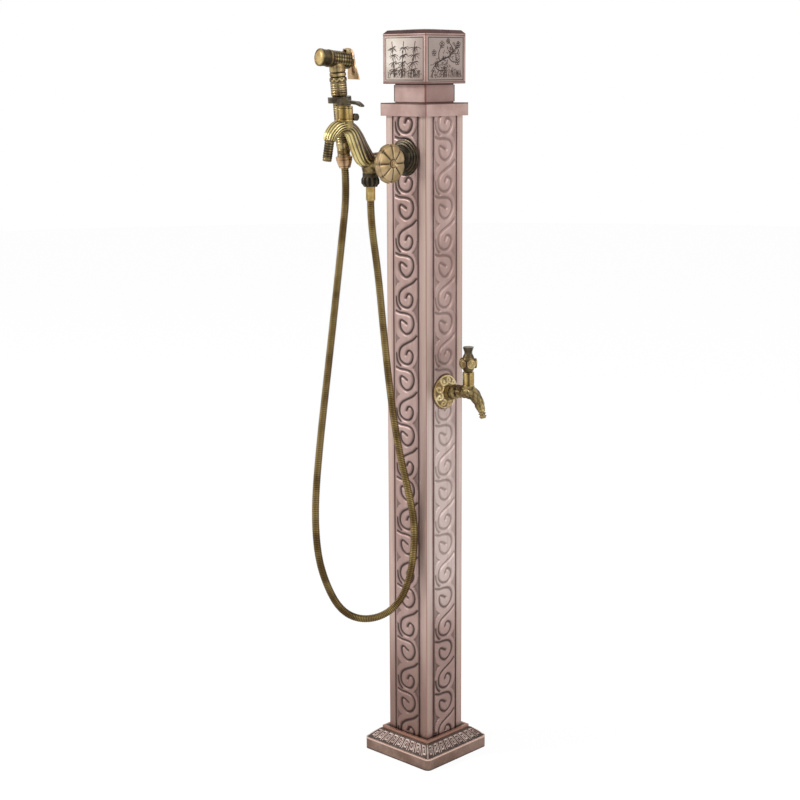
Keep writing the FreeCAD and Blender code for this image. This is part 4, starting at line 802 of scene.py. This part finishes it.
down, side = np.meshgrid(np.arange(GRID_PAIR) * PAIR / GRID_PAIR,
                         np.linspace(-BAND_HALF, BAND_HALF, GRID_ACROSS + 1), indexing="ij")
spots = np.stack([down.ravel(), side.ravel()], 1)
groove_gap = np.full(len(spots), 99.0)
outside = np.zeros(len(spots), bool)
for pair in (-1, 0, 1):
    shift = np.array([pair * PAIR, 0])
    for drawn in (UPPER_SCROLL, LOWER_SCROLL, SIDE_LINE):
        groove_gap = np.minimum(groove_gap, distance_to(spots, smooth_line(drawn) + shift))
    for drawn, hand in ((LEFT_RIM, -1), (RIGHT_RIM, 1)):
        edge = smooth_line(drawn) + shift
        reach = np.interp(spots[:, 0], edge[:, 0], edge[:, 1] * hand, left=99, right=99)
        outside |= spots[:, 1] * hand > reach
ribbon = np.sin(np.pi / 2 * np.clip(groove_gap / 4.8, 0, 1))
height = (1 - np.exp(-(groove_gap / 1.6) ** 2)) * (0.35 + 0.65 * ribbon)
height[outside] *= 0.2
rim = np.clip((BAND_HALF - np.abs(spots[:, 1])) / 1.2, 0, 1)
height = (height * rim).reshape(down.shape)
# Dark in each groove as patina, plus a wider painted shade round it, and a darker ground
# outside the rims.
groove_patina_and_shade = (np.exp(-(groove_gap / 1.55) ** 2) + 0.3 * np.exp(-(groove_gap / 3.2) ** 2)
              + 0.55 * outside)
groove_patina_and_shade = np.clip(groove_patina_and_shade, 0, 1).reshape(down.shape)
print("relief table", height.shape, "from", round(height.min(), 2), "to",
      round(height.max(), 2))

# %% Lay the relief along the four bands
BAND_FOOT, BAND_HEAD = 37.6, 995.4
FIRST_SCROLL = 960.0
BAND_BED = 40.03
RELIEF = 2.2
ROSETTE_LEVELS = {"front": 936.0, "right": 584.5}
ROSETTE_REACH, ROSETTE_FADE = 26, 2
SIDE_LIGHT_ABOVE, SIDE_LIGHT_FADE = 330, 150
rows = int(round((BAND_HEAD - BAND_FOOT) / (PAIR / GRID_PAIR)))
for index, side_name in enumerate(SIDES):
    band = bmesh.new()
    groove_layer = band.verts.layers.float.new("groove")
    bmesh.ops.create_grid(band, x_segments=GRID_ACROSS, y_segments=rows, size=1)
    for vertex in band.verts:
        column = int(round((vertex.co.x + 1) / 2 * GRID_ACROSS))
        line = int(round((vertex.co.y + 1) / 2 * rows))
        z = BAND_FOOT + (BAND_HEAD - BAND_FOOT) * line / rows
        place = int(round((FIRST_SCROLL - z) / PAIR * GRID_PAIR)) % GRID_PAIR
        across_mm = -BAND_HALF + 2 * BAND_HALF * column / GRID_ACROSS
        rise = height[place, column]
        if side_name in ROSETTE_LEVELS:
            rosette_gap = math.hypot(across_mm, z - ROSETTE_LEVELS[side_name])
            rise *= held((rosette_gap - ROSETTE_REACH) / ROSETTE_FADE)
        # Painted light: on the right and left faces the grooves' dark is halved higher up, as
        # if those faces stood in a paler, flatter light.
        groove_dark_share = 1.0
        if side_name in ("right", "left"):
            groove_dark_share = 0.5 + 0.5 * held((SIDE_LIGHT_ABOVE - z) / SIDE_LIGHT_FADE)
        vertex.co = Vector((across_mm, -(BAND_BED + RELIEF * rise), z)) * MM
        vertex[groove_layer] = float(groove_patina_and_shade[place, column]) * groove_dark_share
    bmesh.ops.recalc_face_normals(band, faces=band.faces)
    if band.faces[0].normal.y > 0:
        bmesh.ops.reverse_faces(band, faces=band.faces)
    add_piece("scroll_band_" + side_name, on_side(band, index), "column_copper",
              slot="red_copper", smooth=80)
print("band rows:", rows, "triangles each:", 2 * rows * GRID_ACROSS)

# %% [markdown]
# ## The key pattern on the foot
#
# A Greek key runs round the foot's four slopes.  A key is drawn on squares, so each slope
# starts as a grid that leans against it, and a small pattern of letters says which squares
# belong to a stroke.  The strokes are raised by extrusion, and the other squares stay
# under them as the dark ground.  A ridge covers each corner.

# %% The key pattern on the foot
KEY_UNIT = ["..........",
            ".######.#.",
            ".#....#.#.",
            ".#.##.#.#.",
            ".#.#..#.#.",
            ".#.#..#.#.",
            ".#.####.#.",
            ".#......#.",
            ".........."]
KEYS_PER_SIDE = 9
PLAIN_ENDS = 2
GROUND_LIFT, STROKE_RISE = 0.06, 0.6
SLOPE_HEAD = Vector((50.5, 32.6))
SLOPE_FOOT = Vector((66.6, 18.5))
SLOPE_MIDDLE = (58.5, 26.0)
across_count = KEYS_PER_SIDE * len(KEY_UNIT[0])


def key_square(column, line):
    """Whether a square is raised; the two ends of a side stay plain."""
    inside = PLAIN_ENDS <= column < across_count - PLAIN_ENDS
    return inside and KEY_UNIT[line][column % len(KEY_UNIT[0])] == "#"


slope = SLOPE_FOOT - SLOPE_HEAD
outwards = Vector((0, slope.y, slope.x)).normalized() * MM
ridge_line = [(out, -out, z) for out, z in
              ((SLOPE_HEAD.x + 0.3, SLOPE_HEAD.y), SLOPE_MIDDLE,
               (SLOPE_FOOT.x - 0.5, SLOPE_FOOT.y))]
for index, side_name in enumerate(SIDES):
    key = bmesh.new()
    key_depth = key.verts.layers.float.new("groove")
    bmesh.ops.create_grid(key, x_segments=across_count, y_segments=len(KEY_UNIT), size=1)
    strokes = []
    for face in key.faces:
        centre = face.calc_center_median()
        column = int((centre.x + 1) / 2 * across_count)
        line = int((1 - centre.y) / 2 * len(KEY_UNIT))
        if key_square(column, line):
            strokes.append(face)
    for vertex in key.verts:
        out, z = SLOPE_HEAD + slope * ((1 - vertex.co.y) / 2)
        vertex.co = Vector((vertex.co.x * (out - 0.2), -out, z)) * MM
        vertex[key_depth] = 1.0
    bmesh.ops.translate(key, vec=outwards * GROUND_LIFT, verts=key.verts)
    raised = bmesh.ops.extrude_face_region(key, geom=strokes)
    tops = [item for item in raised["geom"] if isinstance(item, bmesh.types.BMVert)]
    bmesh.ops.translate(key, vec=outwards * STROKE_RISE, verts=tops)
    for vertex in tops:
        vertex[key_depth] = 0.0
    bmesh.ops.delete(key, geom=[face for face in strokes if face.is_valid], context="FACES")
    bmesh.ops.recalc_face_normals(key, faces=key.faces)
    if sum(face.normal.z * face.calc_area() for face in key.faces) < 0:
        bmesh.ops.reverse_faces(key, faces=key.faces)
    strand(key, ridge_line, [0.9, 1.5, 1.1], flat=0.6)
    add_piece("foot_key_" + side_name, on_side(key, index), "key_copper", slot="red_copper",
              smooth=30)
print("key squares along a side:", across_count)

# %% [markdown]
# ## The swan neck's carving
#
# The neck is cast as a mane of hair that sweeps from the bonnet down to the hand wheel,
# over a smooth keel.  The CAD arm stays inside.  Round it goes a carved skin, laid through
# the same sections, with flutes for the strands of hair and a plain keel below.

# %% The swan neck's carving
BLOCK = Vector((0, -114.5, 931.4))
NECK = [(2.0, 0.0, 0.78, 0.62, 9.6, 11.0), (13.0, 8.5, 0.66, 0.75, 13.6, 12.0),
        (22.0, 21.5, 0.60, 0.80, 12.8, 12.0), (30.5, 36.5, 0.60, 0.80, 11.2, 11.5),
        (39.5, 48.0, 0.80, 0.60, 9.0, 11.5), (51.0, 52.8, 1.00, 0.05, 8.0, 12.0),
        (65.5, 51.5, 0.90, -0.45, 8.6, 10.5), (76.5, 43.0, 0.50, -0.85, 8.4, 9.2),
        (80.5, 34.0, 0.20, -0.98, 7.4, 7.6)]
STRANDS = 8
TWIST = 1.1
KEEL_FROM = 2.35
KEEL_LINES = ((0.06, 0.1), (0.52, 0.06))


def mane(angle, share):
    """Flutes on the upper side, a double keel on the lower one."""
    from_top = math.acos(max(-1.0, min(1.0, math.sin(angle))))
    wave = wave_at(FULL_TURN * (from_top * STRANDS / math.pi + TWIST * share))
    if from_top < KEEL_FROM:
        return 0.25 + 1.0 * wave ** 0.6, held((0.7 - wave) / 0.5)
    line = sum(bump_at(from_top - KEEL_FROM - off, width) for off, width in KEEL_LINES)
    return 0.9 - 0.8 * held(line), held(line)


neck = carved_arm(NECK, RIGHT, BLOCK, 112, mane)
add_piece("neck_carving", neck, "brass_mane", smooth=60)
print("neck strands:", 2 * STRANDS)

# %% [markdown]
# ## The hand wheel
#
# Eight petals meet at eight dark spokes, and each spoke ends in a small dot before the
# lobed rim.  It is a turned disc with those spokes pressed in, so the turned section is
# carved by how far a point lies from the nearest spoke.

# %% The hand wheel
SPOKES = 8
DOT_RADIUS = 22.3
WHEEL_SECTION = [(0, 34.3), (9, 34.3), (24.4, 34.8), (27.4, 36), (28.4, 38.6), (28.2, 41),
                 (27, 42.8), (25, 43.8), (21.5, 44.5), (15, 45.7), (8.5, 46.6), (6.2, 46.0),
                 (5, 47.1), (0, 47.1)]


def petals(angle, radius, z):
    off = abs(off_nearest(angle, SPOKES)) * radius
    if radius < 7:
        ring = max(bump_at(radius - 5.9, 0.8), bump_at(radius - 2.6, 0.7))
        return -0.2 * ring, held(1.1 * ring) if z > 45 else 0.0
    if z < 35.5:
        return 0.0, 0.3
    dot = bump_at(math.hypot(off, radius - DOT_RADIUS), 1.7)
    spoke = bump_at(off, 1.05) if radius < DOT_RADIUS else 0.0
    rim = bump_at(off, 2.6) if radius > 24.8 else 0.0
    edge = 0.5 * bump_at(radius - 25.2, 0.8)
    swell = 0.5 * math.sin(math.pi * held((radius - 8) / 17)) * (1 - bump_at(off, 2.6))
    return (swell - 1.1 * max(spoke, dot) - 1.9 * rim,
            held(1.3 * max(spoke, dot) + 0.6 * rim + edge))


turned_piece("petal_wheel", WHEEL_SECTION, 192, 0.9, petals, aim(BLOCK, RIGHT),
             "brass_wheel", "handwheel", body="handwheel_unit", smooth=50)
print("wheel spokes:", SPOKES)

# %% [markdown]
# ## The two wall rosettes
#
# The large one is a stepped cup, dark inside, with thin bright rims and fine gadroons.
# The small one is covered in embossed curls.  Both are turned sections with a carved
# zone; the curls are one drawn line, repeated round the ring.

# %% The two wall rosettes
MAIN_SECTION = [(0, 0.6), (12.3, 0.6), (25, 0.1), (26.4, 1.5), (26.1, 3.0), (24.1, 3.7),
                (23.5, 5.6), (21.5, 6.2), (20.7, 8.6), (18.5, 9.4), (17.7, 12), (15.5, 13.8),
                (13.8, 15), (12.3, 15), (0, 14)]
BIB_SECTION = [(0, 0.6), (10.8, 0.6), (24.6, 0.1), (25.6, 1), (25.2, 2.6), (22.6, 3.3),
               (21.4, 4.6), (16.7, 6.6), (14.7, 8), (11.8, 8.9), (10.8, 8.9), (0, 8)]
CURL = smooth_line([(-6.4, -3.4), (-3.4, -4.6), (0.6, -4.4), (3.6, -2.0), (3.9, 1.6),
                    (1.4, 3.6), (-1.6, 2.8), (-2.3, 0.4), (-0.6, -1.0)], 5)
CURLS = 9
CURL_RING = 18.2
GADROONS = 48
LIT_RIMS = ((26, 0.8), (23.2, 0.6), (20.2, 0.5))
MAIN_PLACE, BIB_PLACE = (0, -41, 936), (41, 0, 584.5)


def gadroons(angle, radius, z):
    lit = max(bump_at(radius - rim, width) for rim, width in LIT_RIMS)
    wave = wave_at(GADROONS * angle)
    fluted = 3.9 < z < 12.5 and radius > 16
    return (0.35 * wave if fluted else 0.0), held(0.85 - 0.25 * wave - 0.85 * lit)


def curls(angle, radius, z):
    if z < 2.8 or not 12.6 < radius < 23.6:
        # Round the barrel's root, inside the ring of curls, the face is dark as painted shade.
        return 0.0, 0.8 if radius < 12.6 and z > 5 else 0.0
    off = off_nearest(angle, CURLS) * radius
    ridge = bump_at(distance_to(np.array([[off, radius - CURL_RING]]), CURL)[0], 1.35)
    return 1.1 * ridge - 0.2, held(0.95 - 1.5 * ridge)


turned_piece("main_rosette_cup", MAIN_SECTION, 144, 0.8, gadroons, aim(MAIN_PLACE, FRONT),
             "brass_dark", "main_rosette")
turned_piece("bib_rosette_cup", BIB_SECTION, 180, 0.6, curls, aim(BIB_PLACE, RIGHT),
             "brass_gilt", "bib_rosette", smooth=60)
print("rosettes ready")

# %% [markdown]
# ## The hand sprayer
#
# The handle is turned, then knurled in ladders of short ribs that leave four plain
# stripes, with a zigzag ring and two collars under the head.  The head lies across it,
# chased all over with a small lattice.  The trigger is the CAD piece, made wider toward
# its free end.

# %% The hand sprayer
HEAD_HEIGHT, HEAD_TURN, HEAD_NOD = 154, math.radians(-10.5), math.radians(-11)
in_head = (in_sprayer @ Matrix.Translation((0, 0, HEAD_HEIGHT * MM))
           @ Matrix.Rotation(HEAD_TURN, 4, "Z") @ Matrix.Rotation(HEAD_NOD, 4, "X")
           @ Matrix.Rotation(math.pi / 2, 4, "X"))
HANDLE_SECTION = [(0, 10.5), (5.9, 10.5), (5.9, 17), (9.4, 17.2), (9.4, 20), (8.7, 20.8),
                  (9.4, 21.6), (9.4, 27), (8.7, 27.8), (9.4, 28.6), (10, 33), (10, 101.5),
                  (11.6, 104), (11.6, 122), (12, 123), (12, 128.6), (11, 129.6), (11.8, 131),
                  (11.8, 134.6), (11, 135.8), (11.6, 137.5), (11.2, 145), (9.5, 150), (0, 150)]
HEAD_SECTION = [(0, -21), (10.4, -21), (11.6, -20), (11.6, 10), (12.2, 11), (12.4, 12.5),
                (12.4, 15.5), (11.7, 17), (11.7, 24), (12.4, 26), (12.4, 29.4), (11.9, 30),
                (10.5, 30), (10.5, 26.4), (0, 26.4)]
LADDER = 3.3
# SEEN_FROM turns the four stripes so that one faces the camera, and the nozzle's painted facets
# with them; the dark along the stripes is painted reflection.
SEEN_FROM = math.radians(47)


def stripe_gap(angle):
    """How far an angle lies from the nearest of the four upright stripes of painted reflection:
    plain on the handle, only dark colour elsewhere.
    """
    return abs(off_nearest(angle + SEEN_FROM, 4))


def handle_relief(angle, radius, z):
    stripe = stripe_gap(angle)
    beside = held((stripe - 0.14) / 0.1)
    if 36 < z < 98 or 104.5 < z < 122:
        wave = wave_at(FULL_TURN * z / LADDER)
        # Dark between the ribs, and on the plain stripes a flat dark that is painted
        # reflection.
        dark = held(1.2 - 1.7 * wave) * beside + 0.72 * (1 - beside)
        return -0.9 * beside * (1 - wave), held(dark)
    if 123 < z < 128.5:
        zig = abs((angle * 10 / FULL_TURN) % 1 - 0.5) * 2
        line = bump_at(z - 123.8 - 3.6 * zig, 0.9)
        return 0.5 * line, held(0.95 - 1.1 * line)
    ring = max(bump_at(z - 129.6, 0.8), bump_at(z - 135.8, 0.8), bump_at(z - 122.4, 0.5))
    # Dark in the ring grooves, and painted reflection along each stripe.
    return -0.5 * ring, held(1.2 * ring + 0.75 * bump_at(stripe, 0.15))


def head_relief(angle, radius, z):
    if -19.5 < z < 10:
        lattice = math.cos(6 * angle + 0.75 * z) * math.cos(6 * angle - 0.75 * z)
        return 0.5 * lattice, held(0.72 - 0.95 * lattice)
    if 12.5 < z < 15.5 or radius < 11 or z > 29:
        return 0.0, 0.05
    return 0.0, 0.85


turned_piece("sprayer_handle", HANDLE_SECTION, 96, 0.7, handle_relief, in_sprayer,
             "brass_handle", "sprayer_body", body="sprayer_unit", smooth=50)
turned_piece("sprayer_head", HEAD_SECTION, 96, 0.7, head_relief, in_head, "brass_ornate",
             "sprayer_body", body="sprayer_unit", smooth=50)

EAR_GAP, EAR_REACH, EAR_DEEP, EAR_TALL = 3.6, 6.2, 8, 6.4
EAR_PLACE = Vector((0, 12.4, -16))
ears = bmesh.new()
for side in (-1, 1):
    middle = Vector((side * (EAR_GAP + EAR_REACH) / 2, 0, 0))
    bmesh.ops.create_cube(ears, size=1, matrix=Matrix.LocRotScale(
        (EAR_PLACE + middle) * MM, None,
        Vector((EAR_REACH - EAR_GAP, EAR_DEEP, EAR_TALL)) * MM))
bmesh.ops.bevel(ears, geom=ears.edges[:], offset=0.9 * MM, segments=3, profile=0.5,
                affect="EDGES", material=-1)
add_piece("trigger_ears", moved(ears, in_head), "brass_ornate", "sprayer_body",
          body="sprayer_unit")

TRIGGER_PIN = Vector((-24.6, -135.3, 1090.4)) * MM
TRIGGER_AXIS = Vector((-0.983255, 0.181486, 0.016516))
FLARE, FLARE_LENGTH = 0.6, 0.032
paddle = bmesh.new()
paddle.from_mesh(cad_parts["trigger"].data)
bmesh.ops.remove_doubles(paddle, verts=paddle.verts, dist=0.01 * MM)
for vertex in paddle.verts:
    from_pin = vertex.co - TRIGGER_PIN
    flare = FLARE * held(-from_pin.z / FLARE_LENGTH)
    vertex.co += TRIGGER_AXIS * from_pin.dot(TRIGGER_AXIS) * flare
add_piece("trigger_paddle", paddle, "brass_pale", "trigger", body="trigger_unit")
print("sprayer ready")

# %% [markdown]
# ## Bonnets, nuts and the nozzle
#
# These are turned pieces, so their rings matter: a thin groove near each end of a bonnet,
# scallops round the nut that a hand tightens, and short ribs down the nozzle.  Dark
# upright stripes on the bonnets are painted reflections of what a polished barrel mirrors.

# %% Bonnets, nuts and the nozzle
def rings_at(levels, width, deep):
    """Thin grooves round a turned piece at the given heights, and four dark upright stripes of
    painted reflection.
    """
    def relief(angle, radius, z):
        line = max(bump_at(z - level, width) for level in levels) if radius > 4 else 0.0
        # The dark along each stripe is painted reflection.
        return -deep * line, held(1.2 * line + 0.9 * bump_at(stripe_gap(angle), 0.2))
    return relief


TOP_BONNET = [(0, 992.2), (12.3, 992.2), (12.3, 1011.9), (11.4, 1012.8), (0, 1012.8)]
BIB_BONNET = [(0, 599.7), (8.8, 599.7), (8.8, 619.8), (8, 620.6), (0, 620.6)]
NUT_SECTION = [(0, 897.1), (9.9, 897.1), (10.9, 899.4), (13.2, 902), (13.2, 908),
               (11.5, 911), (11.5, 916.9), (0, 916.9)]
CONE_NUT = [(0, 0.2), (8, 0.2), (8.6, 1.4), (11.8, 12), (12, 16), (11, 16.9), (0, 16.9)]
NOZZLE_SECTION = [(0, -3), (7.2, -3), (7.4, 0.6), (6.3, 1.8), (6.9, 3.4), (6.9, 24),
                  (6.2, 25.6), (6.4, 27), (6.0, 28.9), (4.6, 28.9), (4.6, 22), (0, 22)]
NUT_LOBES = 11
KNURL_PITCH = 3.5
TOP_BONNET_Y, BIB_HANDLE_X = -165.6, 88.2
NOZZLE_PLACE, NOZZLE_WAY = (0, -195, 965.4), (0, -0.2, -0.98)


def scallops(angle, radius, z):
    if 898.5 < z < 911 and radius > 9:
        wave = math.cos(NUT_LOBES * angle)
        return 0.55 * wave - 0.4, held(0.75 - 0.8 * wave)
    return 0.0, 0.45


def knurls(angle, radius, z):
    wave = wave_at(FULL_TURN * z / KNURL_PITCH)
    # Painted highlights: the crests are painted lighter on eight sides round the nozzle and
    # darker between them.
    facet = wave_at(8 * (angle + SEEN_FROM) + math.pi)
    if 3.4 < z < 25 and radius > 6:
        return -0.55 * (1 - wave), held(1.15 - 0.85 * wave * (0.45 + 0.55 * facet))
    return 0.0, 0.35


turned_piece("top_bonnet_barrel", TOP_BONNET, 96, 0.5, rings_at((994.6, 1009.6), 0.45, 0.6),
             upright_at(0, TOP_BONNET_Y), "brass_bonnet", "top_bonnet", slot="bright_brass")
turned_piece("bib_bonnet_barrel", BIB_BONNET, 72, 0.5, rings_at((601.6, 618.2), 0.4, 0.5),
             upright_at(BIB_HANDLE_X, 0), "brass_bonnet", "bib_bonnet", slot="bright_brass")
turned_piece("scalloped_nut", NUT_SECTION, 132, 0.6, scallops, upright_at(0, BLOCK.y),
             "brass_dark", "hose_nut_tap")
turned_piece("cone_nut", CONE_NUT, 72, 0.6, rings_at((3.0, 12.6), 0.4, 0.5), in_sprayer,
             "brass_pale", "hose_nut_sprayer", body="sprayer_unit")
turned_piece("knurled_nozzle", NOZZLE_SECTION, 96, 0.5, knurls,
             aim(NOZZLE_PLACE, NOZZLE_WAY), "brass_ornate", "spout_nozzle")
print("bonnets, nuts and nozzle ready")

# %% [markdown]
# ## The small tap
#
# Its barrel and spout are cast all over with leaves, which read as small dark hollows
# between bright ridges.  The handle is a ring of round medallions back to back, each a
# raised ring round a little whorl.

# %% The small tap
BIB_CENTRE = Vector((0, 0, 584.5))
BARREL = [(52, 1.0, 1.0, 0.12, 7.6, 7.6), (58, 1.5, 1.0, 0.12, 8.0, 8.0),
          (66, 3.2, 1.0, 0.14, 9.6, 9.4), (75, 5.0, 1.0, 0.10, 8.4, 8.6),
          (83.2, 6.2, 1.0, 0.02, 10.2, 10.2), (94.2, 5.2, 0.92, -0.35, 9.8, 9.6),
          (103.2, -0.5, 0.72, -0.69, 8.4, 8.0), (110.2, -9.5, 0.50, -0.86, 6.8, 6.6),
          (114.2, -18.5, 0.32, -0.95, 5.4, 5.4)]
BIB_HANDLE = [(0, 621.3), (7.5, 621.3), (10.4, 624.6), (12.6, 630), (12.8, 637), (9.6, 644.4),
              (6, 648), (0, 648)]
MEDALS, MEDAL_HEIGHT, MEDAL_RADIUS, MEDAL_FACE = 5, 633.6, 7.5, 12.4
MEDAL_TURN = math.radians(-26)
LEAF_RINGS = ((0.32, 0.02), (0.12, 0.015), (0.9, 0.02))


def leaves(angle, share):
    swirl = math.cos(4 * angle + 17 * share) * math.cos(3 * angle - 26 * share)
    ring = sum(bump_at(share - place, width) for place, width in LEAF_RINGS)
    return 0.3 + 0.8 * swirl + 0.8 * held(ring), held(0.5 - 1.1 * swirl - ring)


def medallions(angle, radius, z):
    off, rise = off_nearest(angle, MEDALS) * MEDAL_FACE, z - MEDAL_HEIGHT
    gap = math.hypot(off, rise)
    if radius < 7.2 or gap > MEDAL_RADIUS:
        return -1.8 * held((radius - 6) / 4), 0.85
    whorl = wave_at(2.2 * gap + 3 * math.atan2(rise, off))
    ring = bump_at(gap - 6.2, 0.9)
    return 0.2 + 0.9 * ring + 0.45 * whorl * (gap < 5), held(0.6 - ring - 0.7 * whorl)


barrel = carved_arm(BARREL, Vector((0, 1, 0)), BIB_CENTRE, 96, leaves)
add_piece("bib_carving", barrel, "brass_ornate", smooth=60)
turned_piece("medallion_handle", BIB_HANDLE, 144, 0.5, medallions,
             upright_at(BIB_HANDLE_X, 0) @ Matrix.Rotation(MEDAL_TURN, 4, "Z"),
             "brass_handle", "bib_handle", body="bib_handle_unit", smooth=60)
print("small tap ready")

# %% [markdown]
# ## The cap's plaques
#
# Four plaques are engraved with plants in dark lines, each inside a thin frame line.  The
# plants here are canes of bamboo and a bough with blossoms, drawn as flattened strands.

# %% The cap's plaques
PLAQUE_FACE = 42.7
PLAQUE_FOOT, PLAQUE_HEAD = 1045.7, 1109.6
PLAQUE_HALF = 39.3
FRAME_INSET, FRAME_LINE = 1.8, 0.6


def on_plaque(u, v):
    """A point of the front plaque: u across in mm, v up from its foot in mm."""
    return (u, -PLAQUE_FACE + 0.02, PLAQUE_FOOT + v)


def stroke(bm, points, width, taper=True):
    """One engraved line on the front plaque."""
    line = smooth_line(points, 5)
    count = len(line)
    widths = [width * (math.sin(math.pi * (0.12 + 0.8 * i / count)) if taper else 1.0)
              for i in range(count)]
    strand(bm, [on_plaque(*point) for point in line], widths, upright=FRONT, flat=0.4, sides=6)


def pebbles(bm, seed):
    """Low arcs of stones and short grass along the plaque's foot."""
    rng = np.random.default_rng(seed)
    for index in range(54):
        u = -33 + 66 * rng.random()
        v = 4 + 18 * rng.random() * (1 - abs(u) / 60)
        wide = 1.4 + 2.0 * rng.random()
        stroke(bm, [(u - wide, v), (u, v + wide * 0.9), (u + wide, v)], 0.42)
    for index in range(40):
        u = -33 + 66 * rng.random()
        stroke(bm, [(u, 5), (u + 1.5 * rng.random(), 10), (u + 6 * rng.random() - 2, 16)], 0.42)


def bamboo(bm):
    """Three jointed canes whose leaves hang in fans."""
    rng = np.random.default_rng(11)
    for foot, head in ((-20, -25), (-6, -1), (13, 22)):
        for joint in range(5):
            low, high = joint / 5, (joint + 0.9) / 5
            stroke(bm, [(foot + (head - foot) * low, 6 + 52 * low),
                        (foot + (head - foot) * high, 6 + 52 * high)], 0.7, taper=False)
        for joint in range(1, 5):
            share = joint / 5
            u, v = foot + (head - foot) * share, 6 + 52 * share
            for leaf in range(9):
                turn = math.radians(-175 + 22 * leaf + 24 * rng.random())
                long = 6 + 8 * rng.random()
                tip = (u + long * math.cos(turn), v + long * math.sin(turn) * 0.8)
                bend = ((u + tip[0]) / 2 + 1.2, (v + tip[1]) / 2 + 1.2)
                stroke(bm, [(u, v), bend, tip], 0.6)
    pebbles(bm, 5)


def blossom(bm, u, v, size):
    for petal in range(5):
        angle = FULL_TURN * petal / 5 + 0.4
        out = Vector((math.cos(angle), math.sin(angle)))
        side = Vector((-out.y, out.x))
        rim = [Vector((u, v)) + out * size * a + side * size * b
               for a, b in ((0.25, 0), (0.7, 0.42), (1.05, 0), (0.7, -0.42), (0.25, 0))]
        stroke(bm, [tuple(p) for p in rim], 0.5, taper=False)


def bough(bm):
    """A branch across the plaque with side twigs, blossoms and small leaves."""
    rng = np.random.default_rng(3)
    stroke(bm, [(-31, 14), (-20, 25), (-6, 31), (10, 37), (27, 52)], 1.2)
    for start, middle, end in (((-13, 28), (-15, 40), (-8, 52)), ((4, 35), (14, 28), (26, 27)),
                               ((-24, 22), (-16, 16), (-4, 15)), ((14, 40), (14, 48), (6, 56))):
        stroke(bm, [start, middle, end], 0.8)
    for u, v, size in ((-8, 52, 5), (12, 43, 5.4), (25, 28, 5), (-3, 16, 4.6), (-25, 40, 4.4),
                       (5, 57, 3.6), (27, 52, 4.6), (-19, 24, 4)):
        blossom(bm, u, v, size)
    for index in range(110):
        u = -30 + 60 * rng.random()
        v = 14 + 34 * held((u + 30) / 56) + 26 * (rng.random() - 0.5)
        turn = FULL_TURN * rng.random()
        stroke(bm, [(u, v), (u + 2.2 * math.cos(turn), v + 2.2 * math.sin(turn)),
                    (u + 4.0 * math.cos(turn + 0.5), v + 4.0 * math.sin(turn + 0.5))], 0.5)
    pebbles(bm, 8)


right, low = PLAQUE_HALF - FRAME_INSET, FRAME_INSET
high = PLAQUE_HEAD - PLAQUE_FOOT - FRAME_INSET
corners = [(-right, low), (right, low), (right, high), (-right, high), (-right, low)]
for index, side_name in enumerate(SIDES):
    engraving = bmesh.new()
    (bamboo if side_name in ("front", "rear") else bough)(engraving)
    for start, end in zip(corners, corners[1:]):
        strand(engraving, [on_plaque(*start), on_plaque(*end)], [FRAME_LINE] * 2,
               upright=FRONT, flat=0.4, sides=6)
    bmesh.ops.recalc_face_normals(engraving, faces=engraving.faces)
    add_piece("plaque_engraving_" + side_name, on_side(engraving, index), "sprig_dark",
              slot="plaque", smooth=60)
print("plaques engraved")
